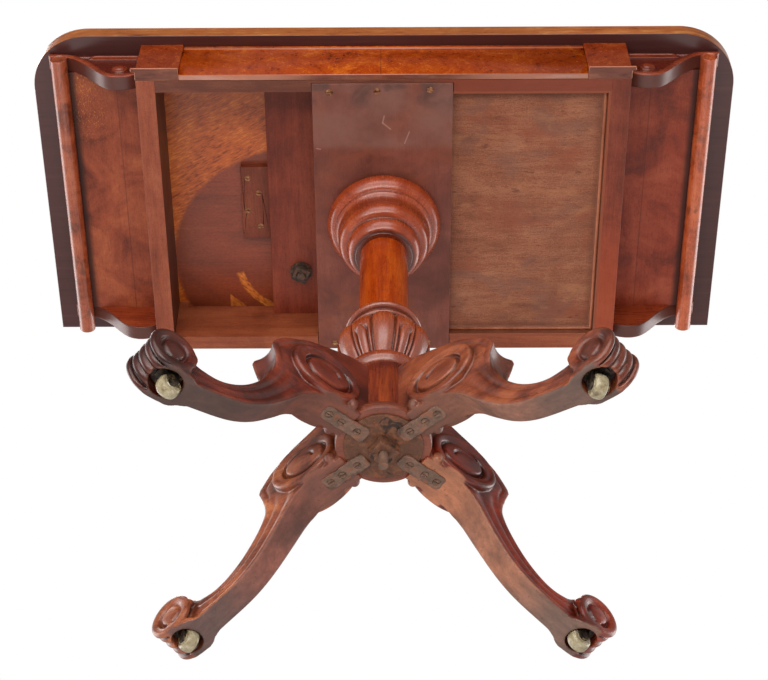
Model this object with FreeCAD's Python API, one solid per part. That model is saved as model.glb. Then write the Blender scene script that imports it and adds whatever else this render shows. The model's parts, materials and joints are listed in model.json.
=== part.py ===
import FreeCAD, Part
import math
import os

# Victorian fold-over card table with a swivel top on a pillar and four scroll legs.
# Millimetres.  +Z up, origin on the floor under the middle of the closed top,
# -Y is the front (rounded corners of the top), +Y is the hinge edge, X runs along the long side.

# ---------------------------------------------------------------- driving dimensions
TOP_W = 914.0            # length of the closed top (36 in)
TOP_D = 457.0            # depth of the closed top (18 in); open top is a 914 mm square
CORNER_R = 75.0          # rounded front corners
LEAF_T = 11.5            # thickness of one leaf
LEAF_GAP = 0.4           # gap between the two closed leaves
Z_LEAF = 701.5           # underside of the lower leaf
SLIDE_GAP = 0.3          # running gap between frame and swivelling top
BAIZE_T = 1.2
BAIZE_SINK = 1.5         # depth of the recess for the cloth
BAND_W = 38.0            # cross-banded border round the cloth
HINGE_STRIP = 2.8        # strip of wood left between the cloth and the hinge edge

Z_FRAME = 615.4          # underside of the frieze rails
FRAME_X = 311.8          # half length of the frame
FRAME_YF = -209.0        # front of the rails
FRAME_YB = 205.0         # back of the rails
END_T = 23.8
FRONT_T = 16.5
BACK_T = 20.0

BOARD_X0, BOARD_X1 = -90.0, 88.0       # platform board on the pillar
BOARD_Y0, BOARD_Y1 = -205.0, 202.0
BOARD_Z0, BOARD_Z1 = 613.0, 635.0

PIVOT_X, PIVOT_Y = -TOP_D / 4.0, TOP_D / 4.0   # swivel point that centres the opened square
BATTEN_HW = 40.0
BATTEN_Z0 = 671.5
BOLT_R = 6.0
BOLT_CLEAR = 0.05

DIE_X0, DIE_X1, DIE_Y = 257.0, 314.0, -222.0
LIP_H = 3.6
BRACKET_T = 21.0
ROLL_X, ROLL_Z, ROLL_R = 418.0, 681.4, 10.8
SOFFIT_Z = 687.0

PLATE_Z0, PLATE_Z1 = 137.5, 140.5      # iron plate under the base disc
DISC_R, DISC_Z1 = 54.5, 153.0
POST_R = 43.0
ROD_R = 5.5

LEG_X, LEG_Y = 221.0, 180.0            # caster stem positions
LEG_R = math.hypot(LEG_X, LEG_Y)
LEG_AZ = math.degrees(math.atan2(LEG_Y, LEG_X))
LEG_HW = 17.0
KNEE_S, KNEE_Z, KNEE_A, KNEE_B, KNEE_HW = 100.0, 168.0, 46.0, 35.0, 27.0
TOE_S, TOE_Z, TOE_R, TOE_HW = 293.0, 43.0, 29.0, 25.5
TOE_BOTTOM = 15.0
RECESS_R, RECESS_TOP = 18.2, 33.0

WHEEL_R, WHEEL_HW = 13.0, 7.2
TRAIL = 3.6
AXLE_R = 1.7
STEM_R = 4.0
FIT = 0.05
CASTER_TURN = {"front_left": -53.0, "front_right": 20.0, "back_left": -143.0, "back_right": 127.0}

HINGE_X = 372.0          # middle of each hinge from the centre
HINGE_L = 50.0
HINGE_AXIS_Y = TOP_D / 2.0 + 0.25
KNUCKLE_R = 2.4

V = FreeCAD.Vector
os.makedirs("parts", exist_ok=True)
Z_RAIL = Z_LEAF - SLIDE_GAP
Z_HINGE = Z_LEAF + LEAF_T + LEAF_GAP / 2.0
Z_UP0 = Z_LEAF + LEAF_T + LEAF_GAP
Z_UP1 = Z_UP0 + LEAF_T
parts = {}


# ---------------------------------------------------------------- helpers
def box(x0, x1, y0, y1, z0, z1):
    return Part.makeBox(x1 - x0, y1 - y0, z1 - z0, V(x0, y0, z0))


def cyl(x, y, z0, z1, r):
    return Part.makeCylinder(r, z1 - z0, V(x, y, z0), V(0, 0, 1))


def cyl_x(x0, x1, y, z, r):
    return Part.makeCylinder(r, x1 - x0, V(x0, y, z), V(1, 0, 0))


def cyl_y(y0, y1, x, z, r):
    return Part.makeCylinder(r, y1 - y0, V(x, y0, z), V(0, 1, 0))


def path(pts, to3):
    """Edges along pts; an item that is itself a list is a smooth curve through its points."""
    edges, last = [], None
    for p in pts:
        if isinstance(p, list):
            run = ([last] if last is not None else []) + p
            c = Part.BSplineCurve()
            c.interpolate([to3(*q) for q in run])
            edges.append(c.toShape())
            last = p[-1]
        else:
            if last is not None and math.dist(last, p) > 1e-6:
                edges.append(Part.LineSegment(to3(*last), to3(*p)).toShape())
            last = p
    first = pts[0][0] if isinstance(pts[0], list) else pts[0]
    if math.dist(last, first) > 1e-6:
        edges.append(Part.LineSegment(to3(*last), to3(*first)).toShape())
    return Part.Wire(edges)


def turned(pts, x=0.0, y=0.0):
    """Solid of revolution about a vertical line; pts are (radius, height)."""
    w = path(pts, lambda r, z: V(x + r, y, z))
    return Part.Face(w).revolve(V(x, y, 0), V(0, 0, 1), 360)


def slab_y(pts, y0, y1):
    """Board cut to an (x, z) outline, between two depths."""
    w = path(pts, lambda x, z: V(x, y0, z))
    return Part.Face(w).extrude(V(0, y1 - y0, 0))


def slab_x(pts, x0, x1):
    """Moulding of a (y, z) section, between two lengths."""
    w = path(pts, lambda y, z: V(x0, y, z))
    return Part.Face(w).extrude(V(x1 - x0, 0, 0))


def oval_y(y0, y1, x, z, a, b):
    """Oval drum across the leg: half length a, half height b."""
    f = Part.Face(Part.Wire([Part.Ellipse(V(0, 0, 0), a, b).toShape()]))
    f.rotate(V(0, 0, 0), V(1, 0, 0), 90)
    f.translate(V(x, y0, z))
    return f.extrude(V(0, y1 - y0, 0))


def mirror_x(s):
    return s.mirror(V(0, 0, 0), V(1, 0, 0))


def turn(s, deg, x=0.0, y=0.0):
    t = s.copy()
    t.rotate(V(x, y, 0), V(0, 0, 1), deg)
    return t


def screw(x, y, z, length, up=True, head=4.4, shank=1.9, sink=2.6):
    """Countersunk wood screw; its slotted head lies at z and its shank goes up from there."""
    h = Part.makeCone(head, shank, sink, V(x, y, z), V(0, 0, 1))
    s = cyl(x, y, z + sink, z + length, shank)
    body = h.fuse(s).removeSplitter()
    slot = box(x - head, x + head, y - 0.5, y + 0.5, z - 1, z + 0.9)
    return body.cut(slot), h.fuse(s)


def put(name, shape):
    parts[name] = shape


# ---------------------------------------------------------------- platform board and pillar
board = box(BOARD_X0, BOARD_X1, BOARD_Y0, BOARD_Y1, BOARD_Z0, BOARD_Z1)
board = board.cut(cyl(0, 0, BOARD_Z0 - 1, BOARD_Z1 + 1, ROD_R + 0.1))
screws, sinks = [], []
for sx, front_y in ((-68.0, -193.0), (-8.0, -194.2), (59.0, -196.0)):
    for sy in (front_y, 194.0):
        a, b = screw(sx, sy, BOARD_Z0, 40.0)
        screws.append(a)
        sinks.append(b)
for b in sinks:
    board = board.cut(b)
put("platform_board", board)
put("platform_screws", Part.makeCompound(screws))

collar = turned([
    (30.5, 613.0), (70.0, 613.0),
    [(73.0, 611.5), (74.2, 606.5), (72.5, 600.5), (68.0, 597.0)],
    (66.0, 597.0), (65.5, 593.5),
    [(64.0, 589.0), (61.0, 583.5), (57.6, 579.5)],
    (57.6, 576.0),
    [(57.8, 571.0), (56.6, 564.5), (53.0, 559.0), (49.0, 557.0)],
    (47.8, 557.0), (47.4, 554.0),
    [(46.6, 548.0), (43.5, 541.0), (39.5, 535.5)],
    (38.6, 534.5), (38.6, 530.5), (36.5, 528.5), (30.5, 528.5)])
put("pillar_collar", collar)

shaft = turned([
    (ROD_R + 0.1, 363.5), (33.5, 363.5),
    [(32.4, 368.0), (31.3, 377.0), (30.9, 398.0)],
    (30.5, 528.5), (30.5, 613.0), (ROD_R + 0.1, 613.0)])
put("pillar_shaft", shaft)

bulb = turned([
    (ROD_R + 0.1, 363.5), (42.0, 363.5),
    [(45.5, 362.0), (46.8, 358.2), (45.4, 354.4), (42.0, 352.8)],
    (41.4, 350.4),
    [(49.0, 346.6), (55.4, 340.6), (58.0, 332.0), (57.2, 320.5), (53.8, 305.0),
     (48.6, 289.0), (43.2, 275.0), (40.4, 266.0)],
    (40.4, 262.5), (45.0, 262.5),
    [(48.6, 259.5), (49.6, 254.5), (48.6, 249.5), (45.0, 245.4)],
    (43.2, 244.0), (ROD_R + 0.1, 244.0)])
put("pillar_bulb", bulb)


# ---------------------------------------------------------------- legs
def leg_profile():
    return [
        (30.0, PLATE_Z1), (46.0, PLATE_Z1), (46.0, PLATE_Z0), (70.0, PLATE_Z0),
        [(88.0, 135.0), (104.0, 129.5), (116.0, 121.5), (126.0, 111.5), (137.0, 97.0),
         (156.0, 73.5), (172.0, 57.0), (190.0, 43.8), (207.0, 35.4), (226.0, 29.4),
         (244.0, 26.4), (262.0, 25.0)],
        (288.0, 25.0), (288.0, 60.0), (266.0, 60.0),
        [(255.0, 54.6), (243.0, 52.6), (228.0, 55.2), (211.0, 64.5), (195.0, 79.0),
         (180.0, 99.0), (169.5, 119.0), (165.2, 136.0), (166.0, 153.0)],
        (171.5, 167.0), (170.0, 174.0),
        [(160.0, 187.0), (148.0, 199.0), (139.0, 206.0), (126.0, 215.5), (112.0, 223.0),
         (98.0, 228.2), (84.0, 232.6), (62.0, 236.6), (48.0, 238.0)],
        (30.0, 238.0)]


def make_leg():
    w = path(leg_profile(), lambda s, z: V(s, -LEG_HW, z))
    leg = Part.Face(w).extrude(V(0, 2 * LEG_HW, 0))
    leg = leg.fuse(oval_y(-KNEE_HW, KNEE_HW, KNEE_S, KNEE_Z, KNEE_A, KNEE_B))
    leg = leg.fuse(cyl_y(-TOE_HW, TOE_HW, TOE_S, TOE_Z, TOE_R))
    leg = leg.fuse(box(258.0, 305.0, -23.5, 23.5, TOE_BOTTOM, TOE_Z))
    leg = leg.cut(box(240.0, 340.0, -60.0, 60.0, 0.0, TOE_BOTTOM))
    leg = leg.cut(cyl(LEG_R, 0, 0.0, RECESS_TOP, RECESS_R))
    leg = leg.cut(cyl(LEG_R, 0, RECESS_TOP - 1, 62.0, 6.0))
    leg = leg.cut(box(STRAP_S0, STRAP_S1, -STRAP_HW, STRAP_HW, STRAP_Z0, STRAP_Z1))   # seat of the iron strap
    for s in SCREW_S:
        leg = leg.cut(strap_screw(s)[1])
    return leg.removeSplitter()


SCREW_S = (38.0, 60.0, 77.0)
STRAP_Z0, STRAP_Z1 = PLATE_Z0 - 3.0, PLATE_Z0
STRAP_S0, STRAP_S1, STRAP_HW = 24.0, 86.0, 10.0


def strap_screw(s):
    return screw(s, 0, STRAP_Z0, 22.0, head=4.2, shank=1.9, sink=2.4)


LEG_AZS = {"front_right": -LEG_AZ, "front_left": 180.0 + LEG_AZ,
           "back_right": LEG_AZ, "back_left": 180.0 - LEG_AZ}
leg0 = make_leg()
for key, az in LEG_AZS.items():
    put("leg_" + key, turn(leg0, az))

housing = None
for az in LEG_AZS.values():
    b = turn(box(30.0, 90.0, -LEG_HW, LEG_HW, 100.0, 238.0), az)
    housing = b if housing is None else housing.fuse(b)
post = cyl(0, 0, DISC_Z1, 244.0, POST_R).cut(cyl(0, 0, 100, 300, ROD_R + 0.1)).cut(housing)
put("base_post", post)
disc = turned([(ROD_R + 0.1, PLATE_Z1), (DISC_R - 3.0, PLATE_Z1), (DISC_R, PLATE_Z1 + 2.5),
               (DISC_R, DISC_Z1 - 3.0), (DISC_R - 2.5, DISC_Z1), (ROD_R + 0.1, DISC_Z1)])
put("base_disc", disc.cut(housing))
plate = cyl(0, 0, PLATE_Z0, PLATE_Z1, 45.0).cut(cyl(0, 0, 100, 200, ROD_R + 0.1))
straps, strap_screws = [], []
strap0 = box(STRAP_S0, STRAP_S1, -STRAP_HW, STRAP_HW, STRAP_Z0, STRAP_Z1)
for s in SCREW_S:
    strap0 = strap0.cut(strap_screw(s)[1])
    strap_screws_one = strap_screw(s)[0]
for az in LEG_AZS.values():
    straps.append(turn(strap0, az))
    for s in SCREW_S:
        a, b = strap_screw(s)
        strap_screws.append(turn(a, az))
        plate = plate.cut(turn(b, az))
put("base_plate", plate)
put("base_straps", Part.makeCompound(straps))
put("strap_screws", Part.makeCompound(strap_screws))
rod = cyl(0, 0, 104.0, 650.0, ROD_R)
put("tie_rod", rod)
nut = box(-13.0, 13.0, -13.0, 13.0, 124.0, PLATE_Z0).cut(cyl(0, 0, 100, 200, ROD_R))
top_nut = box(-13.0, 13.0, -13.0, 13.0, BOARD_Z1 + 2.0, BOARD_Z1 + 12.0).cut(cyl(0, 0, 600, 700, ROD_R))
washer = cyl(0, 0, BOARD_Z1, BOARD_Z1 + 2.0, 20.0).cut(cyl(0, 0, 600, 700, ROD_R))
put("tie_rod_nuts", Part.makeCompound([turn(nut, 37.0), turn(top_nut, 10.0)]))
put("tie_rod_washer", washer)

# ---------------------------------------------------------------- casters
sockets = []
fork_arm = 2.6
for key, az in LEG_AZS.items():
    a = math.radians(az)
    cx, cy = LEG_R * math.cos(a), LEG_R * math.sin(a)
    tube = cyl(cx, cy, RECESS_TOP - 1.6, 61.5, 6.0)
    flange = cyl(cx, cy, RECESS_TOP - 1.6, RECESS_TOP, 17.0)
    sockets.append(tube.fuse(flange).cut(cyl(cx, cy, 0, 60.0, STEM_R + FIT)))
    # built with the wheel trailing to +Y, then swung to the angle it was left at
    wy = cy + TRAIL
    crown = cyl(cx, cy, 27.9, 31.0, 11.4)
    x_in = WHEEL_HW + 0.4
    fork = crown
    for sgn in (-1, 1):
        x0, x1 = sorted((cx + sgn * x_in, cx + sgn * (x_in + fork_arm)))
        w = path([(cy - 6.0, 28.5), (wy - 6.2, 14.2), (wy - 5.6, 10.4), (wy - 3.2, 7.6), (wy, 6.7), (wy + 3.2, 7.6),
                  (wy + 5.6, 10.4), (wy + 6.2, 14.2), (cy + 7.5, 28.5)], lambda yy, zz: V(x0, yy, zz))
        fork = fork.fuse(Part.Face(w).extrude(V(x1 - x0, 0, 0)))
    fork = fork.fuse(cyl(cx, cy, 30.5, 59.0, STEM_R))
    axle = cyl_x(cx - x_in - fork_arm - 0.8, cx + x_in + fork_arm + 0.8, wy, WHEEL_R, AXLE_R)
    fork = fork.cut(axle)
    wheel = cyl_x(cx - WHEEL_HW, cx + WHEEL_HW, wy, WHEEL_R, WHEEL_R)
    wheel = wheel.makeFillet(1.6, [e for e in wheel.Edges if hasattr(e.Curve, "Radius")])
    wheel = wheel.cut(cyl_x(cx - 20, cx + 20, wy, WHEEL_R, AXLE_R + FIT))
    t = CASTER_TURN[key]
    put("caster_fork_" + key, turn(fork.removeSplitter(), t, cx, cy))
    put("caster_axle_" + key, turn(axle, t, cx, cy))
    put("caster_wheel_" + key, turn(wheel, t, cx, cy))
put("caster_sockets", Part.makeCompound(sockets))

# ---------------------------------------------------------------- frieze frame
x_in = FRAME_X - END_T
y_fi = FRAME_YF + FRONT_T
y_bi = FRAME_YB - BACK_T
lap = box(BOARD_X0 - 0.9, BOARD_X1 + 0.9, BOARD_Y0, BOARD_Y1, 600.0, BOARD_Z1)
bat = box(PIVOT_X - BATTEN_HW, PIVOT_X + BATTEN_HW, y_fi - 9.0, y_bi + 10.0, BATTEN_Z0, Z_RAIL)
front = box(-x_in, x_in, FRAME_YF, y_fi, Z_FRAME, Z_RAIL).cut(lap).cut(bat)
back = box(-x_in, x_in, y_bi, FRAME_YB, Z_FRAME, Z_RAIL).cut(lap).cut(bat)
# clearance where the stop block comes home against the batten with the top swung round
back = back.cut(box(-274.0, PIVOT_X - BATTEN_HW, y_bi - 1, 197.0, 690.0, Z_RAIL + 1))
for b in sinks:
    front = front.cut(b)
    back = back.cut(b)
put("front_rail", front)
put("back_rail", back)
end = box(x_in, FRAME_X, FRAME_YF, FRAME_YB, Z_FRAME, Z_RAIL)
put("end_rail_right", end)
put("end_rail_left", mirror_x(end))

facing = slab_x([
    (FRAME_YF, Z_FRAME), (-216.8, Z_FRAME), (-217.4, 617.8),
    [(-219.0, 628.0), (-219.2, 642.0), (-217.6, 660.0), (-214.6, 678.0), (-212.4, 690.0)],
    (-212.4, 693.5), (-214.0, 695.0), (-214.6, 698.0), (-213.6, 700.8), (FRAME_YF, 700.8)],
    -DIE_X0, DIE_X0)
put("frieze_facing", facing)
die = slab_x([
    (FRAME_YF, Z_FRAME), (-226.0, Z_FRAME), (-226.6, Z_FRAME + LIP_H / 2), (-226.0, Z_FRAME + LIP_H),
    (DIE_Y, Z_FRAME + LIP_H), (-216.5, 700.8), (FRAME_YF, 700.8)], DIE_X0 + 0.2, DIE_X1)
lip = box(DIE_X0 + 0.2, DIE_X1 + 3.6, -226.0, FRAME_YF, Z_FRAME, Z_FRAME + LIP_H)
put("die_right", die.fuse(lip).removeSplitter())
put("die_left", mirror_x(parts["die_right"]))


def bracket(y0, y1):
    return slab_y([
        (FRAME_X, Z_RAIL), (FRAME_X, 645.0),
        [(322.0, 639.4), (333.0, 636.9), (344.0, 637.4), (354.0, 641.4), (364.0, 650.0),
         (374.0, 662.0), (385.0, 674.6), (396.0, 684.4), (407.0, 690.6), (418.0, ROLL_Z + ROLL_R + 0.1)],
        (430.0, ROLL_Z + ROLL_R + 0.4), (433.0, 695.5), (433.0, 699.0), (430.0, Z_RAIL)], y0, y1)


roll_cut = cyl_y(-300, 300, ROLL_X, ROLL_Z, ROLL_R)
bf = bracket(-205.0, -205.0 + BRACKET_T).cut(roll_cut)
bb = bracket(FRAME_YB - BRACKET_T, FRAME_YB).cut(roll_cut)
put("bracket_front_right", bf)
put("bracket_front_left", mirror_x(bf))
put("bracket_back_right", bb)
put("bracket_back_left", mirror_x(bb))
soffit = slab_y([(FRAME_X, Z_RAIL), (FRAME_X, SOFFIT_Z), (409.0, SOFFIT_Z), (409.0, ROLL_Z + ROLL_R + 0.1),
                 (429.0, ROLL_Z + ROLL_R + 0.1), (429.0, Z_RAIL)],
                -205.0 + BRACKET_T, FRAME_YB - BRACKET_T).cut(roll_cut)
put("soffit_right", soffit)
put("soffit_left", mirror_x(soffit))
roll = cyl_y(-206.5, 216.5, ROLL_X, ROLL_Z, ROLL_R)
roll = roll.makeFillet(2.5, [e for e in roll.Edges if hasattr(e.Curve, "Radius") and len(e.Vertexes) == 1])
put("end_roll_right", roll)
put("end_roll_left", mirror_x(roll))

batten = bat.cut(cyl(PIVOT_X, PIVOT_Y, 600, 710, BOLT_R + BOLT_CLEAR))
put("pivot_batten", batten)

WELL_Z0, WELL_Z1 = 626.5, 632.5
put("well_bottom", box(BOARD_X1, x_in, y_fi, y_bi, WELL_Z0, WELL_Z1))


def bead(y0, y1):
    return [(y0, WELL_Z0), (y0, 617.4), [(y0 + 0.45 * (y1 - y0), 618.6), (y0 + 0.85 * (y1 - y0), 622.0),
            (y1, WELL_Z0)]]


b_front = slab_x(bead(y_fi, y_fi + 8.0), BOARD_X1, x_in)
b_back = slab_x(bead(y_bi, y_bi - 8.0), BOARD_X1, x_in)
b_end = slab_y(bead(x_in, x_in - 8.0), y_fi, y_bi).cut(b_front).cut(b_back)
put("well_beads", Part.makeCompound([b_front, b_back, b_end]))


# ---------------------------------------------------------------- leaves
def leaf(z0, z1, inset=0.0, back=0.0):
    hx, yf, yb, r = TOP_W / 2 - inset, -TOP_D / 2 + inset, TOP_D / 2 - back, CORNER_R - inset
    k = r * math.sqrt(0.5)
    e = [Part.LineSegment(V(-hx, yb, z0), V(-hx, yf + r, z0)).toShape(),
         Part.Arc(V(-hx, yf + r, z0), V(-hx + r - k, yf + r - k, z0), V(-hx + r, yf, z0)).toShape(),
         Part.LineSegment(V(-hx + r, yf, z0), V(hx - r, yf, z0)).toShape(),
         Part.Arc(V(hx - r, yf, z0), V(hx - r + k, yf + r - k, z0), V(hx, yf + r, z0)).toShape(),
         Part.LineSegment(V(hx, yf + r, z0), V(hx, yb, z0)).toShape(),
         Part.LineSegment(V(hx, yb, z0), V(-hx, yb, z0)).toShape()]
    return Part.Face(Part.Wire(e)).extrude(V(0, 0, z1 - z0))


Z_CLOTH = Z_LEAF + LEAF_T - BAIZE_SINK
pocket_lo = leaf(Z_CLOTH, Z_CLOTH + 5.0, BAND_W, HINGE_STRIP)
lower = leaf(Z_LEAF, Z_LEAF + LEAF_T).cut(pocket_lo)
put("lower_baize", leaf(Z_CLOTH, Z_CLOTH + BAIZE_T, BAND_W + 0.2, HINGE_STRIP + 0.2))
upper = leaf(Z_UP0, Z_UP1).cut(leaf(Z_UP0 - 3.0, Z_UP0 + BAIZE_SINK, BAND_W, HINGE_STRIP))
put("upper_baize", leaf(Z_UP0 + BAIZE_SINK - BAIZE_T, Z_UP0 + BAIZE_SINK, BAND_W + 0.2,
                        HINGE_STRIP + 0.2))

# hinges: plates let into the back edges, knuckles on the line where the leaves meet
plates_lo, plates_up, pins = [], [], []
PL_T, PL_H = 1.5, 8.5
yb = TOP_D / 2
for hx in (-HINGE_X, HINGE_X):
    x0, x1 = hx - HINGE_L / 2, hx + HINGE_L / 2
    relief = cyl_x(x0 - 0.3, x1 + 0.3, HINGE_AXIS_Y, Z_HINGE, KNUCKLE_R + 0.35)
    lo = box(x0, x1, yb - PL_T, yb, Z_HINGE - 0.2 - PL_H, Z_HINGE - 0.2)
    up = box(x0, x1, yb - PL_T, yb, Z_HINGE + 0.2, Z_HINGE + 0.2 + PL_H)
    lower = lower.cut(lo).cut(relief)
    upper = upper.cut(up).cut(relief)
    third = HINGE_L / 3
    lo_k = cyl_x(x0, x0 + third - 0.15, HINGE_AXIS_Y, Z_HINGE, KNUCKLE_R).fuse(
        cyl_x(x1 - third + 0.15, x1, HINGE_AXIS_Y, Z_HINGE, KNUCKLE_R))
    up_k = cyl_x(x0 + third + 0.15, x1 - third - 0.15, HINGE_AXIS_Y, Z_HINGE, KNUCKLE_R)
    gap_lo = cyl_x(x0 + third - 0.15, x1 - third + 0.15, HINGE_AXIS_Y, Z_HINGE, KNUCKLE_R + 0.35)
    gap_up = cyl_x(x0 - 1, x0 + third + 0.15, HINGE_AXIS_Y, Z_HINGE, KNUCKLE_R + 0.35).fuse(
        cyl_x(x1 - third - 0.15, x1 + 1, HINGE_AXIS_Y, Z_HINGE, KNUCKLE_R + 0.35))
    pin = cyl_x(x0 + 0.5, x1 - 0.5, HINGE_AXIS_Y, Z_HINGE, 1.0)
    plates_lo.append(lo.cut(gap_lo).fuse(lo_k).cut(pin))
    plates_up.append(up.cut(gap_up).fuse(up_k).cut(cyl_x(x0 - 1, x1 + 1, HINGE_AXIS_Y, Z_HINGE, 1.0 + FIT)))
    pins.append(pin)
put("hinge_plates_lower", Part.makeCompound(plates_lo))
put("hinge_plates_upper", Part.makeCompound(plates_up))
put("hinge_pins", Part.makeCompound(pins))

# swivel bolt with its flange let into the lower leaf, washer and square nut under the batten
bolt = cyl(PIVOT_X, PIVOT_Y, 655.0, Z_LEAF + 1.0, BOLT_R).fuse(cyl(PIVOT_X, PIVOT_Y, Z_LEAF, Z_LEAF + 4.0, 24.0))
lower = lower.cut(cyl(PIVOT_X, PIVOT_Y, Z_LEAF - 1, Z_LEAF + 4.0, 24.0))
put("pivot_bolt", bolt)
put("pivot_washer", cyl(PIVOT_X, PIVOT_Y, BATTEN_Z0 - 2.3, BATTEN_Z0 - 0.3, 15.0).cut(
    cyl(PIVOT_X, PIVOT_Y, 600, 700, BOLT_R)))
pnut = box(PIVOT_X - 10.5, PIVOT_X + 10.5, PIVOT_Y - 10.5, PIVOT_Y + 10.5, BATTEN_Z0 - 12.3, BATTEN_Z0 - 2.3)
put("pivot_nut", turn(pnut.cut(cyl(PIVOT_X, PIVOT_Y, 600, 700, BOLT_R)), 24.0, PIVOT_X, PIVOT_Y))

# stop block on the leaf: its long side meets the batten when closed, its end when swung round
STOP_T = 9.0
sx1 = PIVOT_X - BATTEN_HW - 0.35
sy1 = PIVOT_Y - BATTEN_HW - 0.35
stop = box(sx1 - 38.0, sx1, sy1 - 112.0, sy1, Z_LEAF - STOP_T, Z_LEAF)
stop_screws = []
for px, py in ((sx1 - 28.7, sy1 - 95.2), (sx1 - 15.0, sy1 - 71.6), (sx1 - 30.0, sy1 - 44.0), (sx1 - 14.0, sy1 - 19.2)):
    a, b = screw(px, py, Z_LEAF - STOP_T, 16.0, head=4.2)
    stop_screws.append(a)
    stop = stop.cut(b)
    lower = lower.cut(b)
put("stop_block", stop)
put("stop_block_screws", Part.makeCompound(stop_screws))
put("lower_leaf", lower)
put("upper_leaf", upper)

# ---------------------------------------------------------------- write the pieces
for name, shape in parts.items():
    solids = shape.Solids
    if not solids or not all(s.isValid() for s in solids):
        raise RuntimeError("bad solid: " + name)
    out = solids[0] if len(solids) == 1 else Part.makeCompound(solids)
    out.exportStep("parts/" + name + ".step")
    bb_ = out.BoundBox
    print("%-26s %2d  %9.1f cm3  x %.1f %.1f  y %.1f %.1f  z %.1f %.1f" % (
        name, len(solids), out.Volume / 1000.0, bb_.XMin, bb_.XMax, bb_.YMin, bb_.YMax, bb_.ZMin, bb_.ZMax))
print(len(parts), "nodes")
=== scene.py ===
"""Fold-over card table on a carved pillar and four scrolled legs: finish, carving and staging."""

import json
import math

import bmesh
import bpy
import numpy as np
from mathutils import Matrix, Vector


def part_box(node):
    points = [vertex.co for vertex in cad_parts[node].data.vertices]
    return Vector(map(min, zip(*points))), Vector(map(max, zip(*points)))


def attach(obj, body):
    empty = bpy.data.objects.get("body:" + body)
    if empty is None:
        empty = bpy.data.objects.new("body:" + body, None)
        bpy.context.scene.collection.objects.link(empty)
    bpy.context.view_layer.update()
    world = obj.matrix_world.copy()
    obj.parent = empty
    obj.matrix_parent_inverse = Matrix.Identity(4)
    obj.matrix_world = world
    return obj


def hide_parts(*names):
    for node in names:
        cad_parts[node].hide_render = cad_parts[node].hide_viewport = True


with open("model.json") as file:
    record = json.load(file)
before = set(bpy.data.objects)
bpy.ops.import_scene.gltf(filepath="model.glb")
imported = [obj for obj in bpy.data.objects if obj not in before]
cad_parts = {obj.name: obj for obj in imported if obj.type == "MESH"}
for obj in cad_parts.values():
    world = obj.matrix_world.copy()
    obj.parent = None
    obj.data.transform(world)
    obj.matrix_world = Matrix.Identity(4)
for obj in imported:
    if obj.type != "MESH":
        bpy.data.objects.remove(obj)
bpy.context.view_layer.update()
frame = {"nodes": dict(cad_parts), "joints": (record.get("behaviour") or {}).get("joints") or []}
NODES = frame["nodes"]
scene = bpy.context.scene
MM = 0.001
LEGS = {"front_right": -39.16, "front_left": 219.16, "back_right": 39.16, "back_left": 140.84}


# ------------------------------------------------------------------ small maths
def spline(points, step=1.0):
    """Natural cubic through the points, sampled about every step."""
    p = np.asarray(points, float)
    if len(p) < 3:
        n = max(2, int(np.ceil(np.linalg.norm(p[-1] - p[0]) / step)) + 1)
        return p[0] + (p[-1] - p[0]) * np.linspace(0, 1, n)[:, None]
    u = np.concatenate([[0], np.cumsum(np.sqrt(np.linalg.norm(np.diff(p, axis=0), axis=1)))])
    h = np.diff(u)
    n = len(p)
    a = np.zeros((n, n))
    b = np.zeros((n, p.shape[1]))
    a[0, 0] = a[-1, -1] = 1
    for i in range(1, n - 1):
        a[i, i - 1], a[i, i], a[i, i + 1] = h[i - 1], 2 * (h[i - 1] + h[i]), h[i]
        b[i] = 6 * ((p[i + 1] - p[i]) / h[i] - (p[i] - p[i - 1]) / h[i - 1])
    m = np.linalg.solve(a, b)
    out = []
    for i in range(n - 1):
        k = max(2, int(np.ceil(np.linalg.norm(p[i + 1] - p[i]) / step)))
        t = np.linspace(0, 1, k, endpoint=False)[:, None] * h[i]
        s = h[i] - t
        out.append(m[i] * s**3 / (6 * h[i]) + m[i + 1] * t**3 / (6 * h[i])
                   + (p[i] / h[i] - m[i] * h[i] / 6) * s + (p[i + 1] / h[i] - m[i + 1] * h[i] / 6) * t)
    return np.vstack(out + [p[-1:]])


def curve(items, step=1.0):
    """Straight lines between tuples, smooth runs through the points of a list."""
    out = [np.array(items[0], float)]
    for it in items[1:]:
        if isinstance(it, list):
            out.extend(spline([out[-1]] + it, step)[1:])
        else:
            out.append(np.array(it, float))
    return np.array(out)


def rounded(poly, r, closed=False, limit=18.0):
    """The polyline with each sharp corner eased over about r."""
    p = np.asarray(poly, float)
    n = len(p)
    out = []
    for i in range(n):
        if not closed and i in (0, n - 1):
            out.append(p[i])
            continue
        a, b, c = p[i - 1], p[i], p[(i + 1) % n]
        u, w = a - b, c - b
        lu, lw = np.linalg.norm(u), np.linalg.norm(w)
        if lu < 1e-9 or lw < 1e-9:
            continue
        turn = 180 - math.degrees(math.acos(np.clip(np.dot(u, w) / lu / lw, -1, 1)))
        if turn < limit:
            out.append(b)
            continue
        d = min(r, 0.45 * lu, 0.45 * lw)
        q0, q2 = b + u / lu * d, b + w / lw * d
        for t in np.linspace(0, 1, 5):
            out.append((1 - t) ** 2 * q0 + 2 * t * (1 - t) * b + t * t * q2)
    return np.array(out)


def smax(a, b, k):
    h = np.maximum(k - np.abs(a - b), 0.0)
    return np.maximum(a, b) + h * h / (4 * k)


def smin(a, b, k):
    h = np.maximum(k - np.abs(a - b), 0.0)
    return np.minimum(a, b) - h * h / (4 * k)


def ease(x, a, b):
    t = np.clip((x - a) / (b - a), 0, 1)
    return t * t * (3 - 2 * t)


def bump1(x, w):
    """1 at 0, falling smoothly to 0 at w."""
    t = np.clip(np.abs(x) / w, 0, 1)
    return (1 - t * t) ** 2


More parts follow.
